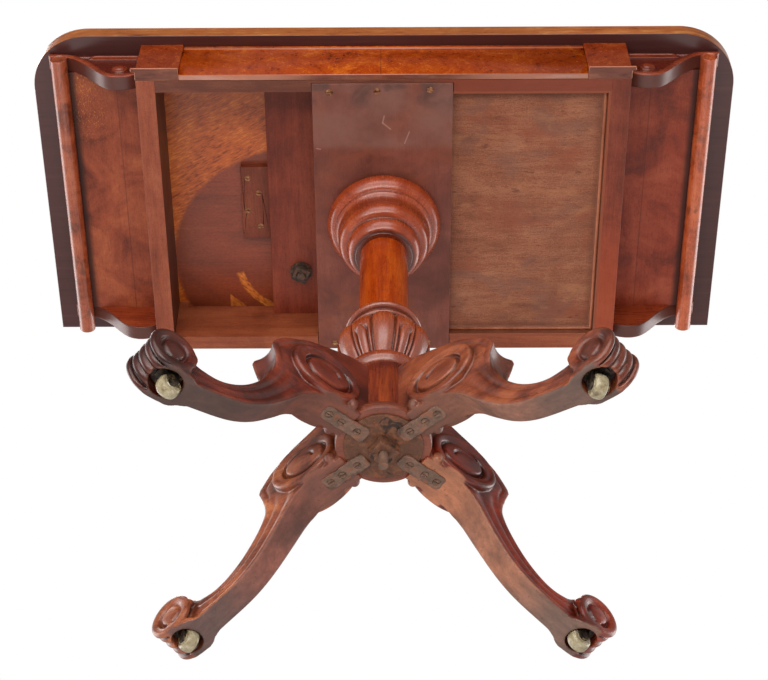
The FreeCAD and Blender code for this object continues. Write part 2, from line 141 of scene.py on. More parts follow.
def seg_dist(px, pz, line, closed=False):
    """Distance from each point to a polyline, and whether it is inside it if that is closed."""
    a = line
    b = np.roll(line, -1, axis=0) if closed else line[1:]
    a = a if closed else line[:-1]
    d2 = np.full(px.shape, 1e18)
    inside = np.zeros(px.shape, bool)
    for (ax, az), (bx, bz) in zip(a, b):
        ex, ez = bx - ax, bz - az
        q = ex * ex + ez * ez
        if q < 1e-12:
            continue
        t = np.clip(((px - ax) * ex + (pz - az) * ez) / q, 0, 1)
        d2 = np.minimum(d2, (px - ax - t * ex) ** 2 + (pz - az - t * ez) ** 2)
        if closed:
            hit = (az > pz) != (bz > pz)
            if abs(ez) > 1e-12:
                inside ^= hit & (px < (bx - ax) * (pz - az) / ez + ax)
    d = np.sqrt(d2)
    return np.where(inside, -d, d) if closed else d


class Field:
    """Values on a grid of the (u, v) plane, read with bilinear interpolation."""

    def __init__(self, f, u0, u1, v0, v1, h):
        self.u0, self.v0, self.h = u0, v0, h
        self.nu, self.nv = int((u1 - u0) / h) + 2, int((v1 - v0) / h) + 2
        g = np.meshgrid(u0 + h * np.arange(self.nu), v0 + h * np.arange(self.nv), indexing="ij")
        self.a = f(*g)

    def __call__(self, u, v):
        x = np.clip((u - self.u0) / self.h, 0, self.nu - 1.001)
        y = np.clip((v - self.v0) / self.h, 0, self.nv - 1.001)
        i, j = x.astype(int), y.astype(int)
        x, y = x - i, y - j
        a = self.a
        return ((a[i, j] * (1 - x) + a[i + 1, j] * x) * (1 - y)
                + (a[i, j + 1] * (1 - x) + a[i + 1, j + 1] * x) * y)


def surface(f, lo, hi, h, steps=2):
    """Closed quad mesh of f = 0 in a box (negative inside), its points pulled on to the surface."""
    lo, hi = np.array(lo, float), np.array(hi, float)
    n = np.ceil((hi - lo) / h).astype(int) + 1
    ax = [lo[i] + h * np.arange(n[i]) for i in range(3)]
    F = np.empty(n)
    for i in range(0, n[0], 16):
        g = np.meshgrid(ax[0][i:i + 16], ax[1], ax[2], indexing="ij")
        F[i:i + 16] = f(*g)
    S = F < 0
    c = np.zeros(n - 1, np.int8)
    corners = [(i, j, k) for i in (0, 1) for j in (0, 1) for k in (0, 1)]
    for i, j, k in corners:
        c += S[i:n[0] - 1 + i, j:n[1] - 1 + j, k:n[2] - 1 + k]
    act = (c > 0) & (c < 8)
    idx = np.full(act.shape, -1, np.int64)
    idx[act] = np.arange(act.sum())
    I, J, K = np.nonzero(act)
    acc = np.zeros((len(I), 3))
    cnt = np.zeros(len(I))
    for a in corners:
        for d in range(3):
            if a[d]:
                continue
            b = list(a)
            b[d] = 1
            fa = F[I + a[0], J + a[1], K + a[2]]
            fb = F[I + b[0], J + b[1], K + b[2]]
            m = (fa < 0) != (fb < 0)
            t = np.where(m, fa / np.where(m, fa - fb, 1), 0)
            p = np.tile(np.array(a, float), (len(I), 1))
            p[:, d] += t
            acc[m] += p[m]
            cnt[m] += 1
    V = lo + h * (np.stack([I, J, K], 1) + acc / cnt[:, None])
    quads = []
    for d in range(3):
        e, g = [x for x in range(3) if x != d]
        A = np.take(S, range(n[d] - 1), d)
        B = np.take(S, range(1, n[d]), d)
        W = np.argwhere(A != B)
        W = W[(W[:, e] > 0) & (W[:, g] > 0) & (W[:, e] < n[e] - 1) & (W[:, g] < n[g] - 1)]
        out = ~A[tuple(W.T)]
        q = []
        for de, dg in ((0, 0), (-1, 0), (-1, -1), (0, -1)):
            w = W.copy()
            w[:, e] += de
            w[:, g] += dg
            q.append(idx[tuple(w.T)])
        q = np.stack(q, 1)
        flip = out if d != 1 else ~out
        q[flip] = q[flip][:, ::-1]
        quads.append(q)
    Q = np.vstack(quads)
    for _ in range(steps):
        f0, gr = f(*V.T), grad(f, V, h * 0.35)
        s = f0 / np.maximum((gr * gr).sum(1), 0.05)
        V -= np.clip(s[:, None] * gr, -0.5 * h, 0.5 * h)
    return V, Q


def grad(f, V, e):
    g = np.empty_like(V)
    for d in range(3):
        a, b = V.copy(), V.copy()
        a[:, d] += e
        b[:, d] -= e
        g[:, d] = (f(*a.T) - f(*b.T)) / (2 * e)
    return g


def relax(V, Q, rounds):
    """Ease the points of a mesh towards their neighbours, to take the sharpness off."""
    E = np.vstack([Q[:, [0, 1]], Q[:, [1, 2]], Q[:, [2, 3]], Q[:, [3, 0]]])
    deg = np.maximum(np.bincount(E.ravel(), minlength=len(V)), 1)[:, None]
    for _ in range(rounds):
        near = np.stack([np.bincount(E[:, 0], V[E[:, 1], d], len(V)) + np.bincount(E[:, 1], V[E[:, 0], d], len(V))
                         for d in range(3)], 1)
        V = V + 0.5 * (near / deg - V)
    return V


# ------------------------------------------------------------------ pieces
def piece(name, V, Q, mat, body, stands_for=(), matrix=None, smooth=True, attrs=None):
    """A new mesh piece; V is in millimetres."""
    me = bpy.data.meshes.new(name)
    me.from_pydata((np.asarray(V, float) * MM).tolist(), [], [list(map(int, q)) for q in Q])
    me.validate()
    me.update()
    flags = [bool(smooth)] * len(Q) if isinstance(smooth, bool) else [bool(x) for x in smooth]
    me.polygons.foreach_set("use_smooth", flags)
    for k, v in (attrs or {}).items():
        me.attributes.new(k, "FLOAT", "POINT").data.foreach_set("value", np.asarray(v, np.float32))
    o = bpy.data.objects.new(name, me)
    scene.collection.objects.link(o)
    me.materials.append(mat)
    if matrix is not None:
        o.matrix_world = matrix
    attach(o, body)
    if stands_for:
        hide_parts(*stands_for)
    return o


def lathe(profile, seg=96, shape=None):
    """Turned piece about Z from (r, z) points, in order along the outline; r 0 closes an end."""
    V, Q, rows = [], [], []
    ang = np.arange(seg) * 2 * math.pi / seg
    for r, z in profile:
        if r < 1e-6:
            rows.append([len(V)])
            V.append((0, 0, z))
        else:
            rr = np.full(seg, r) if shape is None else shape(r, z, ang)
            rows.append(list(range(len(V), len(V) + seg)))
            V.extend(zip(rr * np.cos(ang), rr * np.sin(ang), np.full(seg, z)))
    for a, b in zip(rows[:-1], rows[1:]):
        for i in range(seg):
            j = (i + 1) % seg
            if len(a) == 1 and len(b) == 1:
                continue
            if len(a) == 1:
                Q.append((a[0], b[i], b[j]))
            elif len(b) == 1:
                Q.append((a[i], b[0], a[j]))
            else:
                Q.append((a[i], b[i], b[j], a[j]))
    return np.array(V, float), Q


def turned(items, r, step=1.0):
    return rounded(curve(items, step), r)


def outward(V, Q):
    """Faces turned so that the closed mesh encloses a positive volume."""
    vol = 0.0
    for q in Q:
        p = V[list(q)]
        for i in range(1, len(q) - 1):
            vol += np.dot(p[0], np.cross(p[i], p[i + 1]))
    return Q if vol > 0 else [tuple(reversed(q)) for q in Q]


def soften(node, width, segments=2, angle=30):
    """Eased arrises on a CAD piece."""
    o = NODES[node]
    w = o.modifiers.new("weld", "WELD")
    w.merge_threshold = 2e-5
    b = o.modifiers.new("arris", "BEVEL")
    b.width = width * MM
    b.segments = segments
    b.limit_method = "ANGLE"
    b.angle_limit = math.radians(angle)
    b.use_clamp_overlap = True
    b.harden_normals = False
    n = o.modifiers.new("normals", "WEIGHTED_NORMAL")
    n.keep_sharp = False
    n.weight = 80
    return o


def paint(node, mat):
    o = NODES[node]
    o.data.materials.clear()
    o.data.materials.append(mat)


# ------------------------------------------------------------------ materials
def lin(c):
    c = np.asarray(c, float) / 255
    return tuple(np.where(c <= 0.04045, c / 12.92, ((c + 0.055) / 1.055) ** 2.4)) + (1.0,)


class Mat:
    """A material and short names for the nodes it is made of."""

    def __init__(self, name):
        self.m = bpy.data.materials.new(name)
        self.m.use_nodes = True
        self.t = self.m.node_tree
        self.t.nodes.clear()
        self.out = self.t.nodes.new("ShaderNodeOutputMaterial")
        self.p = self.t.nodes.new("ShaderNodeBsdfPrincipled")
        self.t.links.new(self.p.outputs[0], self.out.inputs[0])
        tc = self.t.nodes.new("ShaderNodeTexCoord")
        self.P, self.N = tc.outputs["Object"], tc.outputs["Normal"]
        s = self.new("ShaderNodeSeparateXYZ")
        self.wire(self.P, s.inputs[0])
        self.x, self.y, self.z = s.outputs
        s = self.new("ShaderNodeSeparateXYZ")
        self.wire(self.N, s.inputs[0])
        self.nx, self.ny, self.nz = s.outputs

    def new(self, kind, **kw):
        n = self.t.nodes.new(kind)
        for k, v in kw.items():
            setattr(n, k, v)
        return n

    def wire(self, a, b):
        if isinstance(a, bpy.types.NodeSocket):
            self.t.links.new(a, b)
        elif a is not None:
            b.default_value = a

    def math(self, op, a, b=None, c=None, clamp=False):
        n = self.new("ShaderNodeMath", operation=op, use_clamp=clamp)
        for i, v in enumerate((a, b, c)):
            self.wire(v, n.inputs[i])
        return n.outputs[0]

    def add(self, a, b): return self.math("ADD", a, b)
    def sub(self, a, b): return self.math("SUBTRACT", a, b)
    def mul(self, a, b): return self.math("MULTIPLY", a, b)

    def range(self, v, a, b, c=0.0, d=1.0, kind="SMOOTHSTEP"):
        n = self.new("ShaderNodeMapRange", interpolation_type=kind)
        for i, w in enumerate((v, a, b, c, d)):
            self.wire(w, n.inputs[i])
        return n.outputs[0]

    def place(self, scale=(1, 1, 1), loc=(0, 0, 0), rot=(0, 0, 0), v=None):
        n = self.new("ShaderNodeMapping")
        self.wire(v or self.P, n.inputs[0])
        n.inputs["Scale"].default_value = scale
        n.inputs["Location"].default_value = loc
        n.inputs["Rotation"].default_value = rot
        return n.outputs[0]

    def noise(self, v, scale, detail=3.0, rough=0.55, dist=0.0):
        n = self.new("ShaderNodeTexNoise")
        self.wire(v, n.inputs["Vector"])
        n.inputs["Scale"].default_value = scale
        n.inputs["Detail"].default_value = detail
        n.inputs["Roughness"].default_value = rough
        n.inputs["Distortion"].default_value = dist
        return n.outputs["Fac"]

    def voronoi(self, v, scale, feature="F1", out="Distance"):
        n = self.new("ShaderNodeTexVoronoi", feature=feature)
        self.wire(v, n.inputs["Vector"])
        n.inputs["Scale"].default_value = scale
        return n.outputs[out]

    def ramp(self, f, stops, kind="EASE"):
        n = self.new("ShaderNodeValToRGB")
        n.color_ramp.interpolation = kind
        e = n.color_ramp.elements
        while len(e) < len(stops):
            e.new(0.5)
        for el, (pos, col) in zip(e, stops):
            el.position, el.color = pos, col
        self.wire(f, n.inputs[0])
        return n.outputs[0]

    def mix(self, f, a, b, blend="MIX"):
        n = self.new("ShaderNodeMix", data_type="RGBA", blend_type=blend)
        n.clamp_factor = True
        self.wire(f, n.inputs[0])
        self.wire(a, n.inputs[6])
        self.wire(b, n.inputs[7])
        return n.outputs[2]

    def shade(self, col, v):
        """Colour multiplied by a grey value."""
        n = self.new("ShaderNodeCombineColor")
        for i in range(3):
            self.wire(v, n.inputs[i])
        return self.mix(1.0, col, n.outputs[0], "MULTIPLY")

    def attr(self, name):
        n = self.new("ShaderNodeAttribute", attribute_name=name)
        return n.outputs["Fac"]

    def bump(self, h, strength, dist, normal=None):
        n = self.new("ShaderNodeBump")
        n.inputs["Strength"].default_value = strength
        n.inputs["Distance"].default_value = dist
        self.wire(h, n.inputs["Height"])
        if normal is not None:
            self.wire(normal, n.inputs["Normal"])
        return n.outputs[0]

    def done(self, col, rough, normal=None, metallic=0.0, spec=0.5, coat=0.0, coat_rough=0.1, sheen=0.0):
        p = self.p
        self.wire(col, p.inputs["Base Color"])
        self.wire(rough, p.inputs["Roughness"])
        if normal is not None:
            self.wire(normal, p.inputs["Normal"])
        self.wire(metallic, p.inputs["Metallic"])
        p.inputs["Specular IOR Level"].default_value = spec
        p.inputs["Coat Weight"].default_value = coat
        p.inputs["Coat Roughness"].default_value = coat_rough
        p.inputs["Sheen Weight"].default_value = sheen
        return self.m


def wood(name, along, dark, mid, light, coarse=1.0, fine=1.0, pores=0.3, cloud=0.5, streak=1.0, speck=0.35,
         rough=(0.3, 0.48), spec=0.5, coat=0.0, bump=0.25, seed=0.0, wave=0.35, then=None):
    """Walnut or mahogany: grain drawn out along one axis, fibres, pores, clouds of tone."""
    m = Mat(name)
    st, fi, po = [1.0] * 3, [1.0] * 3, [1.0] * 3
    st[along], fi[along], po[along] = 0.10, 0.06, 0.09
    off = (seed * 1.7, seed * 2.3, seed * 3.1)
    g1 = m.noise(m.place(st, off), 62.0 * coarse, 4.0, 0.6, wave)
    g2 = m.noise(m.place(fi, off), 420.0 * fine, 4.0, 0.65, 0.2)
    g3 = m.noise(m.place(po, (off[1], off[2], off[0])), 1100.0 * fine, 1.0, 0.5)
    sp = m.noise(m.place(loc=off), 520.0, 3.0, 0.7)
    cl = m.noise(m.place(loc=(off[2], off[0], off[1])), 15.0, 5.0, 0.62, 0.5)
    f = m.add(m.add(m.mul(m.sub(g1, 0.5), 0.9 * streak), m.mul(m.sub(g2, 0.5), 0.6 * streak)),
              m.add(m.mul(m.sub(cl, 0.5), cloud), m.mul(m.sub(sp, 0.5), speck)))
    f = m.add(f, 0.5)
    col = m.ramp(f, [(0.24, lin(dark)), (0.50, lin(mid)), (0.76, lin(light))], "LINEAR")
    pore = m.range(g3, 0.60, 0.72)
    col = m.mix(m.mul(pore, pores), col, lin(np.asarray(dark) * 0.5))
    r = m.range(m.add(m.mul(cl, 0.6), m.mul(g2, 0.4)), 0.3, 0.7, rough[0], rough[1], "LINEAR")
    if then:
        col, r = then(m, col, r, f)
    h = m.sub(m.mul(g2, 0.5), m.mul(pore, 0.6))
    n = m.bump(h, bump, 0.0004)
    return m.done(col, r, n, spec=spec, coat=coat)


# ------------------------------------------------------------------ camera, light, floor
cam = bpy.data.cameras.new("camera")
cam_o = bpy.data.objects.new("camera", cam)
scene.collection.objects.link(cam_o)
right = Vector((0.99996046, 0.00731926, 0.00505096))
down = Vector((-0.00306574, 0.81688336, -0.57679475))
fwd = Vector((-0.00834776, 0.57675646, 0.81687349))
mw = Matrix((right, -down, -fwd)).transposed().to_4x4()
mw.translation = Vector((9.165, -1384.444, -1608.878)) * MM
cam_o.matrix_world = mw
cam.sensor_width = 36.0
cam.lens = 1986.04 / 768 * 36
cam.shift_x = (384 - 374.70) / 768
cam.shift_y = (336.94 - 340) / 768
cam.clip_start, cam.clip_end = 0.05, 60
scene.camera = cam_o
scene.view_settings.view_transform = "Standard"
scene.view_settings.look = "None"

world = bpy.data.worlds.new("studio")
scene.world = world
world.use_nodes = True
wt = world.node_tree
wt.nodes.clear()
wo = wt.nodes.new("ShaderNodeOutputWorld")
wm = wt.nodes.new("ShaderNodeMixShader")
lp = wt.nodes.new("ShaderNodeLightPath")
seen = wt.nodes.new("ShaderNodeBackground")
lit = wt.nodes.new("ShaderNodeBackground")
seen.inputs[0].default_value = (1, 1, 1, 1)
seen.inputs[1].default_value = 1.0
tc = wt.nodes.new("ShaderNodeTexCoord")
dp = wt.nodes.new("ShaderNodeVectorMath")
dp.operation = "DOT_PRODUCT"
dp.inputs[1].default_value = (0.0, 1.0, 0.0)
wt.links.new(tc.outputs["Generated"], dp.inputs[0])
rg = wt.nodes.new("ShaderNodeMapRange")
rg.interpolation_type = "SMOOTHSTEP"
for i, v in enumerate((None, -0.10, 0.42, 0.12, 0.62)):
    if v is not None:
        rg.inputs[i].default_value = v
wt.links.new(dp.outputs["Value"], rg.inputs[0])
sx = wt.nodes.new("ShaderNodeVectorMath")
sx.operation = "DOT_PRODUCT"
sx.inputs[1].default_value = (1.0, 0.0, 0.0)
wt.links.new(tc.outputs["Generated"], sx.inputs[0])
ab = wt.nodes.new("ShaderNodeMath")
ab.operation = "ABSOLUTE"
wt.links.new(sx.outputs["Value"], ab.inputs[0])
rx = wt.nodes.new("ShaderNodeMapRange")
rx.interpolation_type = "SMOOTHSTEP"
for i, v in enumerate((None, 0.3, 0.75, 0.0, 0.3)):
    if v is not None:
        rx.inputs[i].default_value = v
wt.links.new(ab.outputs[0], rx.inputs[0])
both = wt.nodes.new("ShaderNodeMath")
wt.links.new(rg.outputs[0], both.inputs[0])
wt.links.new(rx.outputs[0], both.inputs[1])
wt.links.new(both.outputs[0], lit.inputs[1])
lit.inputs[0].default_value = (1.0, 0.96, 0.94, 1)
wt.links.new(lp.outputs["Is Camera Ray"], wm.inputs[0])
wt.links.new(lit.outputs[0], wm.inputs[1])
wt.links.new(seen.outputs[0], wm.inputs[2])
wt.links.new(wm.outputs[0], wo.inputs[0])


def area(name, loc, at, size, watts, colour=(1, 1, 1)):
    l = bpy.data.lights.new(name, "AREA")
    l.shape = "RECTANGLE"
    l.size, l.size_y = size
    l.energy = watts
    l.color = colour
    o = bpy.data.objects.new(name, l)
    scene.collection.objects.link(o)
    o.location = loc
    o.rotation_mode = "QUATERNION"
    o.rotation_quaternion = (Vector(at) - Vector(loc)).to_track_quat("-Z", "Y")
    o.visible_camera = False
    return o


area("softbox_front", (-0.6, -2.5, -0.5), (0, 0, 0.35), (3.4, 2.2), 44, (1.0, 0.96, 0.92))
area("softbox_key", (-0.4, -2.1, -1.2), (0, 0, 0.4), (3.0, 0.7), 30, (1.0, 0.96, 0.92))
area("softbox_low", (0.0, 0.55, -2.2), (0, 0, 0.4), (3.0, 1.6), 17, (1.0, 0.96, 0.96))
area("softbox_top", (-0.5, 0.75, 2.7), (0, 0, 0.6), (2.0, 1.6), 46, (1.0, 0.98, 0.96))
for side in (-1, 1):
    area("sweep_left" if side < 0 else "sweep_right", (2.7 * side, 1.3, 1.1), (0, 0, 0.6), (2.6, 1.7), 46,
         (1.0, 0.96, 0.96)).visible_diffuse = False
area("strip_front", (-0.1, -2.5, 0.8), (0, 0, 0.32), (2.4, 0.9), 19, (1.0, 0.95, 0.96)).visible_diffuse = False

fl = bpy.data.meshes.new("floor")
R = 80.0
fl.from_pydata([(-R, -R, 0), (R, -R, 0), (R, R, 0), (-R, R, 0)], [], [(0, 1, 2, 3)])
floor = bpy.data.objects.new("floor", fl)
scene.collection.objects.link(floor)
fm = Mat("floor")
geo = fm.new("ShaderNodeNewGeometry")
tr = fm.new("ShaderNodeBsdfTransparent")
ms = fm.new("ShaderNodeMixShader")
fcol = fm.mix(fm.noise(fm.P, 3.0, 4.0), (0.80, 0.80, 0.80, 1), (0.86, 0.86, 0.855, 1))
fm.done(fcol, 0.8, spec=0.1)
fm.wire(geo.outputs["Backfacing"], ms.inputs[0])
fm.wire(fm.p.outputs[0], ms.inputs[1])
fm.wire(tr.outputs[0], ms.inputs[2])
fm.wire(ms.outputs[0], fm.out.inputs[0])
fl.materials.append(fm.m)
floor.visible_shadow = False
floor.visible_diffuse = False
floor.visible_glossy = False
floor.visible_transmission = False


# ------------------------------------------------------------------ legs
LEG_BOTTOM = curve([
    (27, 147), (47.5, 147), (47.5, 137.5), (70, 137.5),
    [(88, 135), (104, 129.5), (116, 121.5), (126, 111.5), (137, 97), (156, 73.5), (172, 57), (190, 43.8),
     (207, 35.4), (226, 28.6), (242, 23.6), (254, 19.6), (264, 16.4), (270, 15)],
    (281, 15), (290, 19.5)], 1.6)
SOLE = np.vstack([LEG_BOTTOM[(LEG_BOTTOM[:, 0] > 47.6) & (LEG_BOTTOM[:, 0] < 271)], [(272, 15), (300, 15)]])
LEG_TOP = curve([
    (266, 60), [(255, 54.6), (243, 52.6), (228, 55.2), (211, 64.5), (195, 79), (180, 99), (169.5, 119),
                (165.2, 136), (166, 153)],
    (171.5, 167), (170, 174),
    [(160, 187), (148, 199), (139, 206), (126, 215.5), (112, 223), (98, 228.2), (84, 232.6), (62, 236.6),
     (48, 238)], (27, 238)], 1.6)
LEG_RING = np.vstack([LEG_BOTTOM, [(303, 24), (312, 35), (314, 45), (306, 57), (290, 62)], LEG_TOP])
KNEE, TOE = (100.0, 168.0), (293.0, 43.0)
f_sil = Field(lambda u, v: seg_dist(u, v, LEG_RING, True), 15, 330, 5, 250, 0.8)
f_bot = Field(lambda u, v: seg_dist(u, v, LEG_BOTTOM), 15, 330, 5, 250, 0.8)
f_top = Field(lambda u, v: seg_dist(u, v, LEG_TOP), 15, 330, 5, 250, 0.8)


def oval(u, v, c, a, b):
    """Distance, about, outside an oval, and the angle round it in degrees."""
    x, y = (u - c[0]) / a, (v - c[1]) / b
    e = np.hypot(x, y) + 1e-9
    g = np.hypot(x / a, y / b) / e
    return (e - 1) / np.maximum(g, 1e-6), np.degrees(np.arctan2(v - c[1], u - c[0])) % 360


def knee_face(u, v):
    """Height of the knee scroll over its flat: a raised rim, a deep oval cut that fades at the top, a small inner curl."""
    d0, _ = oval(u, v, KNEE, 46.0, 35.0)
    d1, a1 = oval(u, v, (97.0, 167.5), 31.0, 20.5)
    deep = np.interp(a1, [0, 20, 45, 70, 100, 130, 150, 180, 200, 330, 345, 360],
                     [6.0, 5.2, 3.6, 1.8, 0.9, 1.4, 3.2, 6.2, 7.0, 7.0, 6.6, 6.0])
    w = np.interp(a1, [0, 60, 100, 150, 200, 330, 360], [4.4, 3.2, 2.6, 3.4, 5.0, 4.8, 4.4])
    cut = deep * np.where(d1 > 0, bump1(d1, w * 0.7), bump1(d1, w * 1.05))
    d2, a2 = oval(u, v, (100.0, 167.5), 16.0, 11.0)
    curl = np.interp(a2, [0, 40, 60, 100, 150, 168, 178, 190, 360], [0, 0, 1.0, 1.8, 2.8, 4.0, 3.4, 0, 0])
    cut = np.maximum(cut, curl * bump1(d2, 2.6))
    isle = 1.0 * np.clip(-d1 / 18.0, 0, 1)
    return 1.3 * bump1(d0 + 4.2, 6.0) + isle - cut


def toe_face(u, v):
    """The toe scroll's side: rim, deep ring, domed boss."""
    r = np.hypot(u - TOE[0], v - TOE[1])
    a = np.degrees(np.arctan2(v - TOE[1], u - TOE[0]))
    deep = 3.9 + 2.1 * np.cos(np.radians(a - 290))
    d = r - 15.4
    cut = deep * np.where(d > 0, bump1(d, 3.0), bump1(d, 4.2))
    return 1.3 * bump1(r - 23.4, 5.6) + 1.8 * (1 - np.clip(r / 12, 0, 1) ** 2) - cut


f_knee = Field(knee_face, 46, 154, 126, 212, 0.5)
f_toe = Field(toe_face, 255, 330, 8, 80, 0.5)
WIDE = np.array([(20, 20), (60, 20), (85, 20.4), (110, 19.8), (130, 18.2), (150, 16.6), (170, 15.8), (230, 15.6), (250, 15.8),
                 (262, 15.6), (272, 15.0), (330, 15.0)])
MOULD = np.array([(0, 14.8), (0.08, 15.5), (0.17, 15.5), (0.26, 14.5), (0.31, 13.3), (0.35, 13.4), (0.44, 14.9), (0.54, 15.4),
                  (0.62, 14.6), (0.67, 13.2), (0.71, 13.3), (0.80, 15.2), (0.90, 15.2), (1.0, 13.4)])


def leg_field(s, t, z):
    at = np.abs(t)
    d2 = f_sil(s, z)
    db, dt = f_bot(s, z), f_top(s, z)
    v = db / np.maximum(db + dt, 1e-6)
    wide = np.interp(s, WIDE[:, 0], WIDE[:, 1])
    # carved leaf on the knee: three lobes with two valleys, the middle one longest
    top = ease(dt, 26, 4) * ease(s, 58, 84) * ease(v, 0.55, 0.8)
    lobes = top * (2.6 * bump1(at - 8.5, 4.2) + 1.2 * ease(at, 9, 20))
    scoop = ease(z, 120, 142) * ease(s + 0.5 * (z - 168), 140, 158) * (1 - ease(z, 192, 208)) * (s < 190)
    d2 = d2 + lobes * (1 - scoop) + scoop * 5.2 * (1 - np.clip(at / 18.0, 0, 1) ** 2)
    # side of the leg: plain near the hub, moulded down the shin
    shin = ease(s - 0.25 * (z - 110), 112, 136) * (1 - ease(s, 246, 266))
    mould = np.interp(v, MOULD[:, 0], MOULD[:, 1]) * wide / 15.5
    upper = ease(z, 128, 158) * ease(s, 100, 128) * (1 - ease(s, 200, 215))
    flat = wide - 1.6 * ease(v, 0.1, 0.35) * ease(s, 60, 90)
    w = flat * (1 - shin) + mould * shin
    w = w * (1 - upper) + (19.6 - 1.2 * bump1(dt - 9.5, 3.0)) * upper
    k = (1.0 + 2.2 * shin * ease(v, 0.3, 0.05) + 3.4 * ease(v, 0.5, 0.95)) * (1 - 0.8 * scoop)
    body = smax(d2, at - w, k)
    # knee scroll standing on the side
    d0, _ = oval(s, z, KNEE, 46.0, 35.0)
    disc = smax(smax(d0, at - 26.0 - f_knee(s, z), 2.8), d2 + 0.4, 1.0)
    body = smin(body, disc, 1.2)
    # toe drum: a disc on each side and reeds round the front between them
    rho = np.hypot(s - TOE[0], z - TOE[1])
    reed = np.clip(np.abs(((at + 5.7) % 11.4) / 11.4 - 0.5) * 2, 0, 1)
    disc_on = ease(at, 16.6, 18.4)
    rt = (27.4 - 3.2 * reed**2.0) * (1 - disc_on) + 28.6 * disc_on - 2.4 * bump1(at - 17.4, 2.2)
    drum = smax(rho - rt, at - 24.2 - f_toe(s, z), 3.0)
    body = smin(body, drum, 1.6 + 6.0 * ease(z, 46, 58) * ease(s, 290, 276))
    pad_w = np.interp(s, [250, 258, 264, 271, 279, 300], [14.0, 17.0, 21.0, 23.4, 24.0, 24.0])
    pad = smax(smax(at - pad_w, z - 26.0 - 0.25 * (s - 270), 4.0), np.maximum(248 - s, s - 296), 2.0)
    body = smin(body, smax(pad, np.interp(s, SOLE[:, 0], SOLE[:, 1]) - z, 0.6), 3.0)
    ball = np.sqrt((s - 267.5) ** 2 + (z - 49.5) ** 2 + (at - 19.0) ** 2) - 5.0
    body = smin(body, ball, 2.4)
    # small curl at the shoulder
    curl = np.sqrt((s - 60.5) ** 2 + ((z - 144.6) / 1.15) ** 2 + (at - 21.6) ** 2) - 6.2
    body = smin(body, curl, 1.0)
    # flat pad and the caster's recess
    body = smax(body, 15.0 - z, 0.8)
    hole = smax(np.hypot(s - 285.0, t) - 18.0, z - 33.0, 1.0)
    return smax(body, -hole, 1.0)


print("legs...")
LV, LQ = surface(leg_field, (24, -30.5, 11), (326, 30.5, 243), 1.3)
LV = relax(LV, LQ, 2)
LV[:, 2] = np.maximum(LV[:, 2], 15.0)
gn = grad(leg_field, LV, 0.6)
gn /= np.linalg.norm(gn, axis=1)[:, None] + 1e-9
l_bot = f_bot(LV[:, 0], LV[:, 2])
drop = np.minimum(l_bot, np.abs(LV[:, 2] - np.interp(LV[:, 0], SOLE[:, 0], SOLE[:, 1])))
under = ease(-gn[:, 2], 0.05, 0.35) * ease(drop, 2.2, 0.9) * ease(LV[:, 0], 297, 291)
# painted shade: dark in the hollows, where the surface lies deep among its neighbours, on the ear's outward face and at
# the toe front
cav = np.clip((leg_field(*(LV + gn * 3.0).T) - 3.0) / -2.2, 0, 1)
cav = np.maximum(cav, 0.55 * np.clip((leg_field(*(LV + gn * 7.0).T) - 7.0) / -5.0, 0, 1))
ear_shade = ease(gn[:, 0], 0.5, 0.85) * ease(LV[:, 2], 122, 138) * (1 - ease(LV[:, 2], 200, 212)) * (LV[:, 0] > 145) * (LV[:, 0] < 190)
cav = np.maximum(np.maximum(cav, 0.6 * ear_shade), 0.25 * ease(LV[:, 0], 296, 312))
under = np.maximum(under, 0.8 * (np.hypot(LV[:, 0] - 60.5, np.abs(LV[:, 1]) - 21.6) < 8.5) * ease(LV[:, 2], 152, 146))
# painted highlight along the convex edges
edge = np.clip((leg_field(*(LV - gn * 3.0).T) + 3.0) / 1.6, 0, 1)


